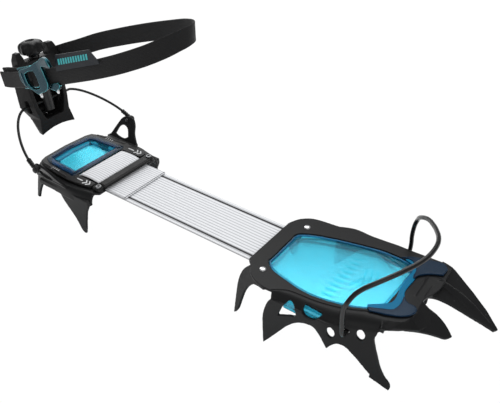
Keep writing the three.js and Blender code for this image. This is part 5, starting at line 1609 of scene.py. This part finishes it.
# the beak rises away from the strap towards its tip, and its long edges fall back
points = layout_points(hook_ring)
along, up = (points - BUCKLE_ORIGIN) @ BUCKLE_ALONG, (points - BUCKLE_ORIGIN) @ BUCKLE_UP
rise = np.clip((along - 20) / 18, 0, 1) ** 1.5 * 2.2 * np.clip((up - 2) / 6, 0, 1)
fall = np.clip(np.abs(up - 10.5) / 5 - 0.4, 0, 1) * (along > 26) * 1.2
set_layout_points(hook_ring, points + BUCKLE_OUT * (rise - fall)[:, None])
piece(hook_ring, "hook", TEAL, "teal_alloy", "buckle_hook_ring")
refine("buckle_base", (), "strap", TEAL, "teal_alloy", voxel=0.00026, passes=3)
refine("buckle_catch", (), "strap", TEAL, "teal_alloy", voxel=0.00024, passes=4)
PRONG_PROFILE = [(0.001, -1.4), (0.85, -1.4), (1.05, 0.0), (1.0, 2.2), (0.8, 3.4), (0.45, 4.0),
                 (0.001, 4.2)]
for name, spot, body in (("hook", (8.6, -12.2, 1.9), "hook"),
                         ("catch", (29.2, -11.2, -0.6), "strap")):
    place("buckle_prong_" + name, [lathe(PRONG_PROFILE, on_buckle(*spot), -BUCKLE_UP, 28)],
          body, ZINC, "bright_steel", weld=1e-6, angle=50)

# =============================================================== CAD nodes
SLOT_MATERIALS = {
    "black_steel": BLACK_STEEL, "bright_steel": ZINC, "blue_tpu": BLUE, "black_nylon": NYLON,
    "white_band": BAND_CLOTH, "black_webbing": WEBBING, "teal_alloy": TEAL, "black_wire": WIRE,
    "black_cable": CABLE}
node_slots = {s["node"]: s.get("material_slot") for s in frame["record"].get("subparts", [])}
for name, obj in NODES.items():
    material = SLOT_MATERIALS.get(node_slots.get(name), NYLON)
    if len(obj.material_slots):
        for slot in obj.material_slots:
            slot.material = material
    else:
        obj.data.materials.append(material)

# =============================================================== STUDIO (metres)
FLOOR_HALF, FLOOR_GAP = 6.0, 0.0006


def floor_material():
    """Pale floor that the camera sees through almost wholly."""
    mat = Shader("floor_pale")
    seen = mat.node("LightPath").outputs["Is Camera Ray"]
    pale = mat.principled(Base_Color=(0.88, 0.88, 0.88), Roughness=0.9, Specular_IOR_Level=0.1)
    clear = mat.node("BsdfTransparent").outputs[0]
    return mat.done(mat.mix_shader(mat.scaled(seen, by=0.97), pale, clear))


floor_z = float(CAD_LO[2]) - FLOOR_GAP
mesh = bpy.data.meshes.new("floor")
corners = [(x * FLOOR_HALF, y * FLOOR_HALF, floor_z) for x, y in ((-1, -1), (1, -1), (1, 1), (-1, 1))]
mesh.from_pydata(corners, [], [(0, 1, 2, 3)])
floor = bpy.data.objects.new("floor", mesh)
SCENE.collection.objects.link(floor)
paint(floor, floor_material())

# White world: dimmer in reflections, brighter to the camera.
WORLD_LIGHT, WORLD_REFLECTED, WORLD_CAMERA_EXTRA = 0.90, 0.30, 0.12
world = bpy.data.worlds.new("studio")
SCENE.world = world
world.use_nodes = True
nodes, links = world.node_tree.nodes, world.node_tree.links
background = nodes["Background"]
background.inputs["Color"].default_value = (1, 1, 1, 1)
ray = nodes.new("ShaderNodeLightPath")
dim = nodes.new("ShaderNodeMapRange")
links.new(ray.outputs["Is Glossy Ray"], dim.inputs[0])
dim.inputs[3].default_value = WORLD_LIGHT
dim.inputs[4].default_value = WORLD_REFLECTED
lift = nodes.new("ShaderNodeMath")
lift.operation = "MULTIPLY_ADD"
links.new(ray.outputs["Is Camera Ray"], lift.inputs[0])
lift.inputs[1].default_value = WORLD_CAMERA_EXTRA
links.new(dim.outputs[0], lift.inputs[2])
links.new(lift.outputs[0], background.inputs["Strength"])


def area_light(name, location, target, size, power):
    data = bpy.data.lights.new(name, "AREA")
    data.shape = "RECTANGLE"
    data.size, data.size_y = size
    data.energy = power
    light = bpy.data.objects.new(name, data)
    SCENE.collection.objects.link(light)
    light.location = location
    aim = Vector(target) - Vector(location)
    light.rotation_euler = aim.to_track_quat("-Z", "Y").to_euler()


area_light("key", location=(-0.35, 0.55, 1.05), target=(-0.02, 0, 0.02), size=(0.9, 0.7), power=7.0)
area_light("fill", location=(0.75, -0.75, 0.75), target=(0, 0, 0.02), size=(0.9, 0.9), power=3.0)
area_light("back", location=(-0.9, 0.5, 0.5), target=(-0.1, 0, 0.04), size=(0.5, 0.7), power=3.0)
SCENE.view_settings.view_transform = "Standard"
SCENE.view_settings.look = "None"
SCENE.view_settings.exposure = 0.0

CAMERA_DOWN, CAMERA_TURN = 35.56, 36.1  # degrees below level, degrees about z
lens = bpy.data.cameras.new("camera")
lens.lens, lens.sensor_width, lens.sensor_fit = 45.36, 36.0, "HORIZONTAL"
lens.clip_start, lens.clip_end = 0.01, 20
camera = bpy.data.objects.new("camera", lens)
camera.location = (0.180817, -0.285734, 0.278714)
camera.rotation_euler = (math.radians(90 - CAMERA_DOWN), 0, math.radians(CAMERA_TURN))
SCENE.collection.objects.link(camera)
SCENE.camera = camera
